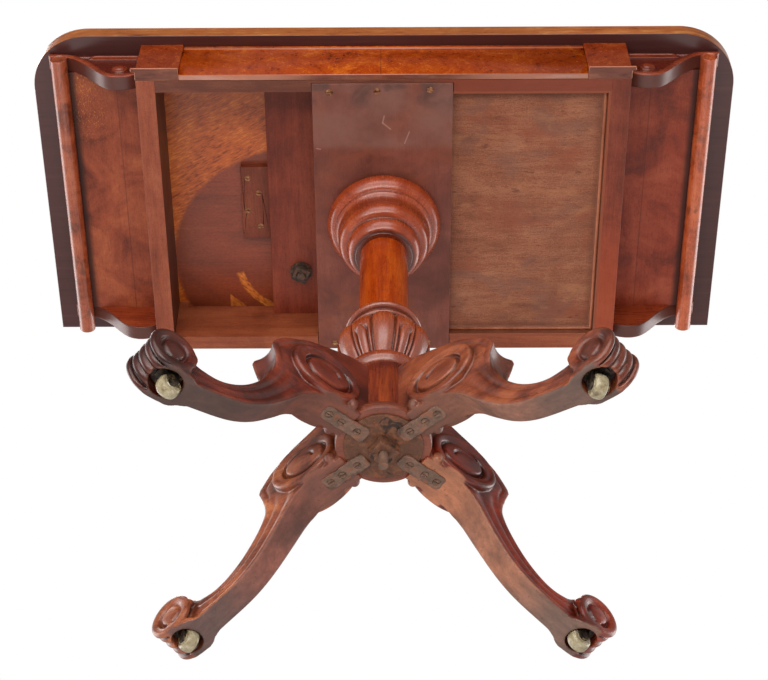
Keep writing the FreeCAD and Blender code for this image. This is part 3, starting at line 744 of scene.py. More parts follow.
def leg_wood(name, under_col, hub_col, gain, toe, seed):
    def then(m, col, r, f):
        # painted shade in the hollows, on the ear and at the toe front
        c = m.attr("cav")
        col = m.mix(m.mul(c, 0.82), col, lin((30, 9, 6)))
        # painted highlight on the convex edges, broken up by noise
        e = m.mul(m.attr("edge"), m.range(m.noise(m.P, 60, 3.0), 0.35, 0.6))
        col = m.mix(m.mul(e, 0.35), col, lin((176, 96, 66)))
        # painted shade towards the toe, set per leg
        col = m.shade(col, m.range(m.x, 0.258, 0.29, 1.0, toe, "LINEAR"))
        u = m.attr("under")
        mott = m.noise(m.place((0.5, 1, 1), (seed, seed, 0)), 30, 3.0, 0.55, 0.4)
        uc = m.mix(m.range(mott, 0.3, 0.7), lin(np.asarray(under_col) * 0.84), lin(np.asarray(under_col) * 1.12))
        hub = m.range(m.x, 0.135, 0.085)
        uc = m.mix(m.mul(hub, 0.85), uc, lin(hub_col))
        big = m.noise(m.place((0.7, 1, 1), (0, seed, seed)), 12, 3.0, 0.5)
        uc = m.shade(uc, m.range(big, 0.32, 0.68, 0.6, 1.28, "LINEAR"))
        grey = (0.5 * np.asarray(under_col) + 0.5 * np.mean(under_col)) * 0.82
        uc = m.mix(m.range(m.x, 0.16, 0.25, 0.0, 0.75), uc, lin(grey))
        grit = m.noise(m.place(loc=(seed, 0, 0)), 330, 4.0, 0.7)
        uc = m.shade(uc, m.range(grit, 0.3, 0.7, 0.88, 1.1, "LINEAR"))
        streak = m.noise(m.place((0.08, 1, 1), (0, seed, 0)), 150, 3.0, 0.6)
        uc = m.shade(uc, m.range(streak, 0.3, 0.7, 0.76, 1.2, "LINEAR"))
        spots = m.range(m.noise(m.P, 210, 2.0), 0.66, 0.74)
        uc = m.mix(m.mul(spots, 0.6), uc, lin(np.asarray(under_col) * 0.42))
        col = m.mix(u, col, uc)
        r = m.math("MAXIMUM", r, m.mul(u, 0.6))
        return col, r
    # each leg's tones are scaled by its own gain to stand in for how brightly it is lit: painted light and shade
    tones = [tuple(255 * (np.asarray(lin(t)[:3]) * gain) ** (1 / 2.2)) for t in ((84, 26, 11), (134, 52, 27), (172, 80, 44))]
    return wood(name, 0, *tones, coarse=0.9, fine=0.9, pores=0.4, cloud=1.7, streak=0.9, speck=0.4,
                rough=(0.26, 0.4), spec=0.65, bump=0.1, seed=seed, then=then)


# per leg: underside colour and hub colour, set leg by leg and so partly painted light, the gain that paints in the
# leg's light and shade, and the painted shade at the toe
LEG_COLOURS_AND_LIGHT = {"front_left": ((107, 57, 40), (112, 57, 37), (0.73, 0.48, 0.34), 0.36),
         "front_right": ((142, 92, 70), (118, 67, 46), (1.05, 1.38, 1.45), 1.0),
         "back_left": ((136, 80, 65), (138, 78, 57), (1.5, 2.45, 2.7), 1.0),
         "back_right": ((158, 102, 76), (170, 105, 71), (1.0, 0.5, 0.24), 0.9)}
for i, (key, az) in enumerate(LEGS.items()):
    mat = leg_wood("leg_walnut_" + key, *LEG_COLOURS_AND_LIGHT[key], 1.3 + i * 2.1)
    piece("carved_leg_" + key, LV, LQ, mat, "base", ("leg_" + key,),
          Matrix.Rotation(math.radians(az), 4, "Z"), attrs={"under": under, "cav": cav, "edge": edge})

# ------------------------------------------------------------------ pillar
def sunk(m, col, r, f):
    """Painted shade lies dark in the cuts."""
    return m.mix(m.mul(m.attr("cut"), 0.82), col, lin((40, 10, 5))), r


def painted_sheen(m, col, r, f):
    """The bulb's down-facing surfaces are painted milky: a painted reflection of the light from below."""
    sheen_mask = m.mul(m.range(m.nz, 0.02, -0.42), m.range(m.noise(m.place(loc=(3, 1, 2)), 46, 3.0, 0.6), 0.25, 0.6, 0.45, 1.0))
    col = m.mix(m.mul(sheen_mask, 0.5), col, lin((140, 90, 80)))
    return sunk(m, col, r, f)


polish = wood("pillar_walnut", 2, (100, 33, 12), (160, 64, 30), (192, 94, 48), coarse=0.9, pores=0.25, cloud=0.4, streak=0.45, speck=0.25,
              rough=(0.2, 0.32), spec=0.7, coat=0.08, bump=0.1, seed=3.3, then=sunk)
bulb_polish = wood("bulb_walnut", 2, (90, 29, 10), (160, 66, 28), (202, 104, 48), coarse=0.9, pores=0.25, cloud=0.7, streak=0.45, speck=0.25,
                   rough=(0.2, 0.32), spec=0.8, coat=0.2, bump=0.08, seed=4.1, then=painted_sheen)
shaft_wood = wood("shaft_walnut", 2, (122, 38, 5), (178, 66, 11), (208, 98, 24), coarse=1.1, pores=0.45, cloud=0.50, streak=0.8,
                  rough=(0.15, 0.26), bump=0.1, seed=5.1, wave=0.5)
post_wood = wood("post_walnut", 2, (76, 22, 9), (124, 46, 22), (178, 80, 28), coarse=1.2, pores=0.35, cloud=0.60,
                 rough=(0.2, 0.34), bump=0.12, seed=7.7)

COLLAR = turned([
    (0, 613), (70, 613), [(73, 611), (74.2, 605.5), (72.4, 598.5), (68.4, 593), (65.4, 590.8)], (64.2, 590.2), (63.6, 588.6),
    (62.4, 588.0), [(59.6, 585.4), (57.2, 579.6), (56.4, 573), (57.2, 568.6)], (57.6, 567.4),
    [(58.7, 565), (58.4, 560.6), (55.8, 555), (51.6, 551.6), (48.8, 551)], (47.2, 550.6), (46.4, 549.4), (47.0, 548.2),
    [(47.9, 546), (47.6, 541.6), (45.2, 535.8), (41.4, 531.6), (38, 530)], (36.4, 529.4), (36.2, 528.5),
    (29.0, 528.5), (29.0, 533), (0, 533)], 0.4, 0.7)
V, Q = lathe(COLLAR, 160)


def quirk(z, *at):
    """How near a height is to one of the turned quirks."""
    return np.max([np.clip(1.35 - np.abs(z - a) / w, 0, 1) for a, w in at], axis=0)


# painted shade: darker quirks, and a darker cove under the outer round
deep = np.maximum(np.maximum(0.45 * quirk(V[:, 2], (589.2, 1.2), (567.2, 1.0)), quirk(V[:, 2], (549.6, 1.2), (529.4, 1.8))) * (np.hypot(V[:, 0], V[:, 1]) < 67),
                  0.42 * quirk(V[:, 2], (577.5, 7.0)))
piece("turned_collar", V, outward(V, Q), polish, "base", ("pillar_collar",), attrs={"cut": deep})
SHAFT = turned([(0, 363.5), (33.5, 363.5), [(32.4, 368), (31.3, 377), (30.9, 398)], (30.5, 528.5), (30.4, 533.5), (0, 533.5)], 0.6, 2.0)
V, Q = lathe(SHAFT, 96)
piece("turned_shaft", V, outward(V, Q), shaft_wood, "base", ("pillar_shaft",))

BULB = turned([
    (0, 363.5), (42, 363.5), [(45.4, 362.6), (46.8, 359.6), (45.8, 356.4), (43.0, 355.0)], (39.6, 354.6), (39.2, 347.4),
    (44.4, 345.8), (45.0, 344.6), (44.2, 343.4), (43.0, 341.6), (46.0, 338.2),
    [(50.6, 333.2), (55.2, 327.4), (58.0, 319), (57.5, 308.5), (54.8, 297), (50.4, 284.6), (45.0, 273.6), (41.0, 266.4)],
    (40.4, 264.5), (40.4, 262.5), (44, 262.5), [(47.6, 259.5), (48.8, 254.5), (47.9, 249.5), (45, 245.4)], (43.2, 244), (0, 244)], 0.35, 0.7)


def gadroon(r, z, ang):
    """Six broad lobes and six short narrow ones, round-headed, a rib standing between two cuts from each to the next."""
    body = float(ease(np.float64(z), 263.4, 267.0) * (1 - ease(np.float64(z), 338.4, 341.0)))
    if body <= 0:
        return np.full(len(ang), r)
    a = np.abs(np.degrees((ang + math.pi / 2 + math.pi / 6) % (math.pi / 3)) - 30.0)
    b = 30.0 - a
    k = r * math.pi / 180
    wide = 14.4 * math.sqrt(1 - min(max((z - 322.0) / 17.5, 0), 1) ** 2.4)
    slim = 7.0 * math.sqrt(1 - min(max((z - 298.0) / 10.0, 0), 1) ** 2.2)
    land = 1.9 * float(ease(np.float64(z), 303.0, 309.0))
    out = np.full(len(ang), -5.4)
    if wide > 0.3:
        out = np.maximum(out, -5.4 + 5.4 * np.sqrt(np.clip(1 - (a / wide) ** 2.2, 0, 1)))
    if slim > 0.3:
        out = np.maximum(out, -5.4 + 4.6 * np.sqrt(np.clip(1 - (b / slim) ** 2.2, 0, 1)))
    out = np.maximum(out, np.where(a > 18.4, -5.4 + land + 0.9 * float(ease(np.float64(z), 303.0, 309.0)), -5.4))
    rib = np.clip(1 - ((a - 19.0) / 2.1) ** 2, 0, 1)
    out = np.maximum(out, -5.4 + 3.2 * np.sqrt(rib) * float(ease(np.float64(z), 337.0, 331.0)))
    cut = 1.1 * bump1((a - wide - 0.8) * k, 1.5)
    if z < 312:
        cut = cut + 1.1 * bump1((b - slim - 0.8) * k, 1.5)
    return r + body * (out - cut)


V, Q = lathe(BULB, 512, gadroon)
rim = np.array([(r, z) for r, z in BULB if 262 < z < 341])[::-1]
hull = np.interp(V[:, 2], rim[:, 1], rim[:, 0])
# painted shade in the cuts between the lobes, in the hollow under the ring and in the quirks
deep = 0.8 * np.clip((hull - np.hypot(V[:, 0], V[:, 1]) - 2.6) / 3.2, 0, 1) * (V[:, 2] > 266) * (V[:, 2] < 339)
deep = np.maximum(deep, quirk(V[:, 2], (351.0, 4.6), (341.6, 1.5), (264.0, 1.6)) * (np.hypot(V[:, 0], V[:, 1]) < 43.6))
piece("gadrooned_bulb", V, outward(V, Q), bulb_polish, "base", ("pillar_bulb",), attrs={"cut": deep})
POST = turned([(0, 153), (43, 153), (43, 244), (0, 244)], 0.6, 4.0)
V, Q = lathe(POST, 96)
piece("hub_post", V, outward(V, Q), post_wood, "base", ("base_post",))
DISC = turned([(0, 140.5), (53.5, 140.5), [(54.5, 143), (54.5, 150), (53.0, 153)], (0, 153)], 0.6, 1.0)
V, Q = lathe(DISC, 96)
disc_wood = wood("disc_walnut", 0, (84, 34, 20), (128, 64, 42), (156, 88, 60), rough=(0.34, 0.52), cloud=0.70, streak=0.4, seed=2.2)
piece("hub_disc", V, outward(V, Q), disc_wood, "base", ("base_disc",))

# ------------------------------------------------------------------ end brackets and rolls
OUT = curve([
    (311.8, 701.2), (311.8, 645), [(322, 639.4), (333, 636.9), (344, 637.4), (354, 641.4), (364, 650), (374, 662),
                                   (385, 674.6), (396, 684.4), (407, 690.6), (418, 692.3)], (430, 692.6), (433, 695.5),
    (433, 699), (430, 701.2)], 1.2)
f_out = Field(lambda u, v: seg_dist(u, v, OUT, True), 300, 445, 625, 712, 0.6)
LOW = curve([(311.8, 645), [(322, 639.4), (333, 636.9), (344, 637.4), (354, 641.4), (364, 650), (374, 662),
                            (385, 674.6), (396, 684.4), (407, 690.6), (418, 692.3)], (432, 692.6)], 1.2)
f_low = Field(lambda u, v: seg_dist(u, v, LOW), 300, 445, 625, 712, 0.6)


def relief(x, z):
    """How far the bracket's front lies back: a strap along the sweep, a round eye, a bead under the top."""
    dl = f_low(x, z)
    ground = 5.4 * ease(dl, 7.6, 9.4)
    eye = np.hypot((x - 337.5) / 11.4, (z - 663.6) / 9.6)
    ground = np.minimum(ground, 5.4 - 5.6 * np.sqrt(np.clip(1 - eye**2, 0, 1)))
    ground = ground + 1.3 * bump1(eye - 0.62, 0.2) * ease(x, 346, 340)
    bead = ease(np.abs(z - 695.0), 2.4, 1.2) * ease(x, 315, 317) * (1 - ease(x, 372, 384))
    top = ease(z, 697.2, 698.0)
    ground = ground * (1 - top) + 3.6 * top * ease(dl, 5, 8)
    ground = ground * (1 - bead) + 0.6 * bead
    strap = 0.9 * bump1(dl - 3.9, 3.6)
    return np.clip(ground, 0, 6) - strap


f_rel = Field(relief, 300, 445, 625, 712, 0.6)


def bracket_field(carved):
    def f(x, y, z):
        d2 = f_out(x, z)
        front = (f_rel(x, z) if carved else 0.0) + 0.9
        b = smax(d2, np.maximum(-(y + 0.0) + front, y - 21.0), 1.2)
        roll = np.hypot(x - 418.0, z - 681.4) - 11.3
        return smax(b, -roll, 0.5)
    return f


print("brackets...")


def bracket_tone(m, col, r, f):
    """Painted shade on the sunk ground, bright strap and eye, painted shade and a greyer painted reflection underneath.
    """
    face = m.mul(m.range(m.ny, -0.3, -0.7), m.range(m.y, 0.0, -0.01))
    sunk = m.mul(face, m.range(m.y, -0.2030, -0.2000))
    col = m.mix(m.mul(sunk, 0.85), col, lin((84, 22, 11)))
    # painted shade and reflection on the underside of the sweep
    low = m.attr("low")
    return m.mix(m.mul(low, 0.8), col, lin((74, 43, 38))), m.add(r, m.mul(low, 0.08))


bracket_wood = wood("bracket_walnut", 0, (84, 26, 10), (140, 55, 25), (176, 84, 42), pores=0.25, cloud=0.5, streak=0.5,
                    rough=(0.2, 0.36), bump=0.1, seed=9.4, then=bracket_tone)
FB = surface(bracket_field(True), (309, -3, 633), (436, 24, 704), 0.9)
BB = surface(bracket_field(False), (309, -3, 633), (436, 24, 704), 1.3)
for side, sg in (("left", -1), ("right", 1)):
    for end, (V0, Q0), y0, fl_ in (("front", FB, -205.0, 1), ("back", BB, 205.0, -1)):
        V = V0 * (sg, fl_, 1) + (0, y0, 0)
        Q = Q0 if sg * fl_ > 0 else Q0[:, ::-1]
        # the underside of the sweep, where painted shade and reflection go
        low = ease(f_low(V0[:, 0], V0[:, 2]), 1.2, 0.5) * ease(V0[:, 1], 1.6, 2.6)
        piece(f"scroll_bracket_{end}_{side}", V, Q, bracket_wood, "base",
              (f"bracket_{end}_{side}",), attrs={"low": low})

def roll_wood(name, tones, seed):
    return wood(name, 1, *tones, pores=0.3, cloud=0.9, streak=0.4, rough=(0.2, 0.34), spec=0.65, coat=0.1, bump=0.1, seed=seed,
                then=lambda m, col, r, f: (m.mix(m.mul(m.range(m.noise(m.place((1, 0.6, 1), (2, seed, 0)), 40, 4.0, 0.68, 0.8), 0.48, 0.66),
                                                       0.62), col, lin(np.asarray(tones[0]) * 0.8)), r))


ROLL_WOOD = {"left": roll_wood("roll_walnut_left", ((94, 36, 17), (164, 78, 45), (198, 112, 72)), 11.9),
             "right": roll_wood("roll_walnut_right", ((112, 42, 18), (192, 88, 46), (224, 122, 72)), 14.3)}
ROLL = turned([(0, 1.6), (7.2, 1.6), [(8.8, 1.2), (9.6, 0.3)], (10.2, 0.0), (10.8, 0.7), (10.8, 422.2), (10.2, 423),
               (0, 423)], 0.4, 6.0)
V, Q = lathe(ROLL, 64)
V = np.stack([V[:, 0], V[:, 2], -V[:, 1]], 1)
Q = outward(V, Q)
for side, sg in (("left", -1), ("right", 1)):
    piece("end_roll_moulding_" + side, V + (418.0 * sg, -206.5, 681.4), Q, ROLL_WOOD[side], "base",
          ("end_roll_" + side,))

# ------------------------------------------------------------------ iron
def rusty(name, tones, rust_k, black_k, seed):
    m = Mat(name)
    n1 = m.noise(m.place(loc=(seed, 0, 0)), 55, 5.0, 0.65, 0.4)
    n2 = m.noise(m.P, 240, 4.0, 0.6)
    c = m.ramp(m.add(m.mul(n1, 0.6), m.mul(n2, 0.4)), [(p, lin(t)) for p, t in zip((0.32, 0.46, 0.58, 0.72), tones)])
    rust = m.range(m.noise(m.place(loc=(seed, 2, 0)), 90, 4.0, 0.7), 0.52, 0.66)
    c = m.mix(m.mul(rust, rust_k), c, lin((150, 84, 52)))
    black = m.range(m.noise(m.place(loc=(3, 1, 2)), 42, 3.0, 0.6, 0.8), 0.60, 0.68)
    c = m.mix(m.mul(black, black_k), c, lin((34, 28, 26)))
    return m.done(c, m.range(n2, 0.3, 0.7, 0.5, 0.8, "LINEAR"), m.bump(m.add(n1, m.mul(n2, 0.6)), 0.5, 0.0008), spec=0.35)


plate_iron = rusty("rusty_plate", ((66, 42, 31), (98, 63, 45), (120, 79, 57), (134, 97, 75)), 0.65, 0.85, 0.0)
strap_iron = rusty("rusty_straps", ((74, 62, 54), (108, 84, 70), (130, 99, 83), (146, 114, 97)), 0.55, 0.45, 4.0)
for n in ("base_plate", "tie_rod_washer", "tie_rod_nuts"):
    paint(n, plate_iron)
dark_iron = rusty("dark_iron", ((34, 27, 24), (58, 45, 38), (88, 70, 59), (116, 96, 82)), 0.35, 0.6, 7.0)
for n in ("pivot_bolt", "pivot_nut", "pivot_washer"):
    paint(n, dark_iron)
paint("tie_rod", strap_iron)
soften("base_plate", 0.7)


def strap_field(k):
    """A smith's strap: ends rounded by hand, edges not quite true, faces dented, three screw holes."""
    rng = np.random.default_rng(40 + k)
    a, b, c = rng.uniform(0, 6.28, 3)

    def f(s, t, z):
        w = 9.5 - 0.6 * np.sin(s * 0.17 + a) * 0.6 - 0.35 * np.sin(s * 0.41 + b) - 0.5 * (t > 0) * np.sin(s * 0.11 + c)
        ends = np.maximum(24.6 + 0.05 * t * math.sin(c) - s, s - 85.2 + 0.07 * t * math.sin(a) + 0.4 * np.sin(t * 0.6 + b))
        flat = smax(np.abs(t) - w, ends, 5.0)
        low = 134.75 + 0.16 * np.sin(s * 0.31 + b) * np.cos(t * 0.4 + a) - z
        d = smax(smax(flat, low, 0.9), z - 137.5, 0.3)
        for x in (38.0, 60.0, 77.0):
            d = smax(d, 4.3 - np.hypot(s - x, t), 0.4)
        return d
    return f


V, Q, n = [], [], 0
for k, az in enumerate(LEGS.values()):
    v, q = surface(strap_field(k), (22, -12, 133), (88, 12, 139), 0.8)
    c, w = math.cos(math.radians(az)), math.sin(math.radians(az))
    V.append(np.stack([v[:, 0] * c - v[:, 1] * w, v[:, 0] * w + v[:, 1] * c, v[:, 2]], 1))
    Q.append(q + n)
    n += len(v)
piece("iron_straps", np.vstack(V), np.vstack(Q), strap_iron, "base", ("base_straps",))
for n in ("tie_rod_nuts", "pivot_nut"):
    soften(n, 1.2)
rustscrew = Mat("rusty_screws")
n1 = rustscrew.noise(rustscrew.P, 300, 4.0, 0.6)
c = rustscrew.ramp(n1, [(0.35, lin((74, 56, 46))), (0.5, lin((112, 82, 64))), (0.66, lin((138, 104, 82)))])
rustscrew.done(c, 0.6, rustscrew.bump(n1, 0.3, 0.0004), spec=0.35)
paint("strap_screws", rustscrew.m)
steel = Mat("screw_steel")
n1 = steel.noise(steel.P, 260, 4.0, 0.6)
c = steel.ramp(n1, [(0.35, lin((84, 46, 28))), (0.52, lin((150, 96, 58))), (0.68, lin((190, 146, 104)))])
steel.done(c, steel.range(n1, 0.3, 0.7, 0.35, 0.6, "LINEAR"), steel.bump(n1, 0.25, 0.0003), metallic=0.35, spec=0.5)
for n in ("platform_screws", "stop_block_screws"):
    paint(n, steel.m)
brass = Mat("hinge_brass")
n1 = brass.noise(brass.P, 120, 4.0, 0.6)
c = brass.ramp(n1, [(0.32, lin((88, 62, 28))), (0.52, lin((158, 122, 62))), (0.7, lin((196, 164, 96)))])
brass.done(c, brass.range(n1, 0.3, 0.7, 0.28, 0.5, "LINEAR"), brass.bump(n1, 0.2, 0.0003), metallic=0.9)
for n in ("hinge_plates_lower", "hinge_plates_upper", "hinge_pins"):
    paint(n, brass.m)

# ------------------------------------------------------------------ casters
cast = Mat("caster_iron")
n1 = cast.noise(cast.P, 160, 5.0, 0.65)
n2 = cast.noise(cast.P, 520, 3.0, 0.6)
c = cast.ramp(n1, [(0.34, lin((22, 20, 20))), (0.50, lin((62, 54, 48))), (0.64, lin((96, 84, 70)))])
worn = cast.range(cast.noise(cast.place(loc=(5, 2, 1)), 120, 3.0), 0.58, 0.66)
c = cast.mix(cast.mul(worn, 0.55), c, lin((176, 146, 92)))
cast.done(c, cast.range(n2, 0.3, 0.7, 0.28, 0.6, "LINEAR"), cast.bump(cast.add(n1, n2), 0.4, 0.0005), metallic=0.55)
cer = Mat("caster_ceramic")
n1 = cer.noise(cer.P, 70, 4.0, 0.6)
c = cer.ramp(n1, [(0.32, lin((116, 102, 72))), (0.5, lin((172, 160, 128))), (0.68, lin((206, 198, 172)))])
crk = cer.range(cer.voronoi(cer.P, 190, "DISTANCE_TO_EDGE"), 0.0, 0.035, 1.0, 0.0)
c = cer.mix(cer.mul(crk, 0.35), c, lin((112, 86, 52)))
dirt = cer.range(cer.noise(cer.place(loc=(2, 7, 3)), 110, 4.0, 0.65), 0.5, 0.68)
c = cer.mix(cer.mul(dirt, 0.45), c, lin((128, 106, 66)))
cer.done(c, cer.range(n1, 0.3, 0.7, 0.16, 0.34, "LINEAR"), cer.bump(n1, 0.1, 0.0004), spec=0.55)
WHEEL = turned([(1.85, -7.2), (6.0, -7.2), (6.4, -6.4), (8.6, -6.4), (9.0, -7.2), [(10.7, -6.9), (12.2, -5.2), (12.9, -2.4),
                (13.0, 0), (12.9, 2.4), (12.2, 5.2), (10.7, 6.9), (9.0, 7.2)], (8.6, 6.4), (6.4, 6.4), (6.0, 7.2), (1.85, 7.2),
                (1.85, -7.2)], 0.3, 0.7)
V, Q = lathe(WHEEL, 64)
Q = outward(V, Q)
for j in frame["joints"]:
    if j["name"].startswith("wheel_roll_"):
        key = j["name"][11:]
        ax = Vector(j["axis"]).normalized()
        mw = Vector((0, 0, 1)).rotation_difference(ax).to_matrix().to_4x4()
        mw.translation = Vector(j["pos_m"])
        W = np.array([mw @ Vector(v * MM) for v in V]) / MM
        piece("barrel_wheel_" + key, W, Q, cer.m, "wheel_" + key, ("caster_wheel_" + key,))
        for n in ("caster_fork_", "caster_axle_"):
            paint(n + key, cast.m)
        soften("caster_fork_" + key, 0.5)
paint("caster_sockets", cast.m)

# ------------------------------------------------------------------ joinery
def rail(name, along, seed, dark=(84, 40, 28), mid=(130, 74, 54), light=(164, 104, 78), **kw):
    args = dict(pores=0.3, cloud=0.55, streak=0.5, speck=0.3, rough=(0.34, 0.52), bump=0.2, seed=seed, spec=0.3)
    args.update(kw)
    return wood(name, along, dark, mid, light, **args)


paint("front_rail", rail("rail_front_wood", 0, 1.1, (72, 33, 22), (106, 57, 41), (134, 80, 59),
                         then=lambda m, col, r, f: (m.mix(m.range(m.x, 0.04, 0.1, 0.0, 0.6), col, lin((142, 60, 34))), r)))
paint("back_rail", rail("rail_back_wood", 0, 2.1, (100, 43, 25), (146, 74, 45), (175, 101, 66)))
# painted shade: the left end rail's inner face is darkened
paint("end_rail_left", rail("rail_left_wood", 1, 3.1, (96, 40, 24), (146, 72, 47), (176, 100, 68),
                            then=lambda m, col, r, f: (m.mix(m.range(m.nx, 0.5, 0.8, 0.0, 0.72), col, lin((48, 31, 25))), r)))
# painted light and shade: darker towards the front, lighter and oranger towards the back
paint("end_rail_right", rail("rail_right_wood", 1, 4.1, (88, 32, 18), (138, 60, 38), (168, 86, 58), cloud=0.9,
                             then=lambda m, col, r, f: (m.shade(m.mix(m.range(m.y, -0.06, 0.09, 0.0, 0.45), col, lin((164, 68, 30))),
                                                                m.range(m.y, -0.15, 0.06, 0.74, 1.06, "LINEAR")), r)))


def worn_board(m, col, r, f):
    """A lighter, greyer upper end painted as a reflection, a redder lower one, a few light scratches."""
    cl = m.noise(m.place(loc=(1, 2, 0)), 12, 4.0, 0.62, 0.4)
    col = m.mix(m.range(cl, 0.42, 0.66, 0.0, 0.6), col, lin((92, 50, 40)))
    warm = m.noise(m.place(loc=(7, 3, 0)), 17, 3.0, 0.6, 0.5)
    col = m.mix(m.mul(m.range(warm, 0.5, 0.66), 0.5), col, lin((136, 70, 46)))
    # painted reflection: lighter and greyer towards the front, broken up by noise
    sheen_patch = m.mul(m.range(m.y, -0.106, -0.119), m.range(m.noise(m.place(loc=(4, 4, 0)), 20, 4.0, 0.6), 0.25, 0.75, 0.1, 0.75))
    col = m.mix(sheen_patch, col, lin((136, 94, 82)))
    smudge = m.mul(m.range(m.y, -0.165, -0.185), m.range(m.noise(m.place(loc=(4, 0, 0)), 26, 3.0, 0.6, 0.6), 0.44, 0.62))
    col = m.mix(m.mul(smudge, 0.6), col, lin((78, 58, 54)))
    for ax, ay, bx, by, w in ((1.0, -159.0, -1.0, -149.0, 1.5), (-1.0, -149.0, 9.0, -140.0, 1.6), (33.0, -136.0, 27.0, -119.0, 1.3),
                              (-86.0, -112.0, -81.0, -111.0, 1.3)):
        ax, ay, bx, by, w = (v * MM for v in (ax, ay, bx, by, w))
        ex, ey = bx - ax, by - ay
        q = ex * ex + ey * ey
        px, py = m.sub(m.x, ax), m.sub(m.y, ay)
        t = m.math("ADD", m.mul(px, ex / q), m.mul(py, ey / q), clamp=True)
        dx, dy = m.sub(px, m.mul(t, ex)), m.sub(py, m.mul(t, ey))
        d = m.math("SQRT", m.add(m.mul(dx, dx), m.mul(dy, dy)))
        col = m.mix(m.mul(m.range(d, w, 0.0), 0.5), col, lin((190, 148, 134)))
    return col, r


board_wood = rail("board_wood", 1, 5.1, (92, 46, 36), (126, 66, 52), (150, 90, 74), coarse=0.7, pores=0.25, cloud=0.8,
                  streak=0.3, rough=(0.36, 0.55), then=worn_board)
paint("pivot_batten", rail("batten_wood", 1, 6.1, (80, 26, 14), (130, 54, 34), (158, 78, 52)))
paint("stop_block", rail("stop_wood", 1, 7.1, (82, 32, 18), (128, 60, 39), (158, 88, 58)))


def dry_panel(m, col, r, f):
    """Unpolished wood gone blotchy: redder and greyer clouds, short dark flecks, dirt and painted shade along the
    frame, a little darker towards the back.
    """
    red = m.noise(m.place((0.7, 1, 1), (2, 5, 0)), 15, 4.0, 0.6, 0.5)
    col = m.mix(m.range(red, 0.5, 0.68, 0.0, 0.55), col, lin((142, 72, 50)))
    grey = m.noise(m.place((0.7, 1, 1), (8, 1, 0)), 18, 4.0, 0.6, 0.5)
    col = m.mix(m.range(grey, 0.5, 0.68, 0.0, 0.5), col, lin((122, 86, 74)))
    pale = m.noise(m.place((0.5, 1, 1), (4, 4, 0)), 30, 4.0, 0.65, 0.4)
    col = m.mix(m.range(pale, 0.55, 0.7, 0.0, 0.4), col, lin((182, 124, 84)))
    fleck = m.noise(m.place((0.16, 1, 1), (1, 3, 0)), 620, 2.0, 0.6)
    col = m.mix(m.range(fleck, 0.58, 0.68, 0.0, 0.34), col, lin((98, 56, 42)))
    knot = m.noise(m.place((0.45, 1, 1), (6, 6, 0)), 95, 2.0, 0.5)
    col = m.mix(m.range(knot, 0.7, 0.76, 0.0, 0.55), col, lin((92, 48, 36)))
    # dirt and painted shade along the edges where the panel meets the frame
    near = m.math("MAXIMUM", m.range(m.x, 0.268, 0.281), m.math("MAXIMUM", m.range(m.y, 0.163, 0.178), m.range(m.y, -0.166, -0.186)))
    col = m.mix(m.mul(near, 0.45), col, lin((96, 52, 36)))
    return m.shade(col, m.range(m.y, -0.1, 0.15, 1.02, 0.92, "LINEAR")), r


def moulded(m, col, r, f):
    """A bead in light wood that is a painted highlight on its crest, a lip like the rails', painted shade in the cuts.
    """
    col = m.mix(m.attr("lip"), col, lin((142, 72, 45)))
    return m.mix(m.mul(m.attr("cut"), 0.85), col, lin((52, 22, 15))), r


paint("well_bottom", rail("panel_wood", 0, 8.1, (114, 62, 42), (152, 93, 67), (180, 120, 90), coarse=2.2, fine=1.2, pores=0.5,
                          streak=0.42, cloud=0.7, speck=0.7, rough=(0.5, 0.7), spec=0.25, then=dry_panel))
# lip, groove and bead, mitred round three sides of the panel: distance from the rail, height, painted shade, lip
MOULDING = [(0.0, 626.5, 0, 1), (0.0, 615.6, 0, 1), (3.1, 615.6, 0, 1), (3.6, 616.1, 0, 1), (3.6, 617.0, 0.6, 0.4), (3.6, 625.5, 0.8, 0),
            (4.0, 625.8, 0.9, 0)]
MOULDING += [(6.0 + 2.0 * math.cos(a), 626.2 + 2.0 * math.sin(a), g, 0)
             for a, g in zip(np.radians((192, 218, 244, 270, 296, 322, 348)), (0.5, 0.1, 0, 0, 0, 0.15, 0.5))]
MOULDING += [(8.3, 626.1, 0.8, 0), (9.2, 626.2, 0.5, 0), (9.4, 626.5, 0.5, 0)]
NM = len(MOULDING)
V = np.array([q for d, z, g, l in MOULDING for q in ((88.0, -192.5 + d, z), (288.0 - d, -192.5 + d, z), (288.0 - d, 185.0 - d, z),
                                                     (88.0, 185.0 - d, z))])
Q = [(i * 4 + j, (i + 1) % NM * 4 + j, (i + 1) % NM * 4 + j + 1, i * 4 + j + 1) for i in range(NM) for j in range(3)]
on_bead = [7 <= i < 13 for i in range(NM) for j in range(3)] + [False, False]
Q += [tuple(i * 4 for i in reversed(range(NM))), tuple(i * 4 + 3 for i in range(NM))]
# the bead's light wood is a painted highlight on its crest; the third column paints shade in the groove and on the
# bead's flanks
piece("panel_moulding", V, Q, rail("bead_wood", 1, 9.1, (134, 76, 52), (184, 112, 80), (208, 138, 102), then=moulded), "base",
      ("well_beads",), smooth=on_bead, attrs={"cut": np.repeat([q[2] for q in MOULDING], 4),
                                                             "lip": np.repeat([q[3] for q in MOULDING], 4)})


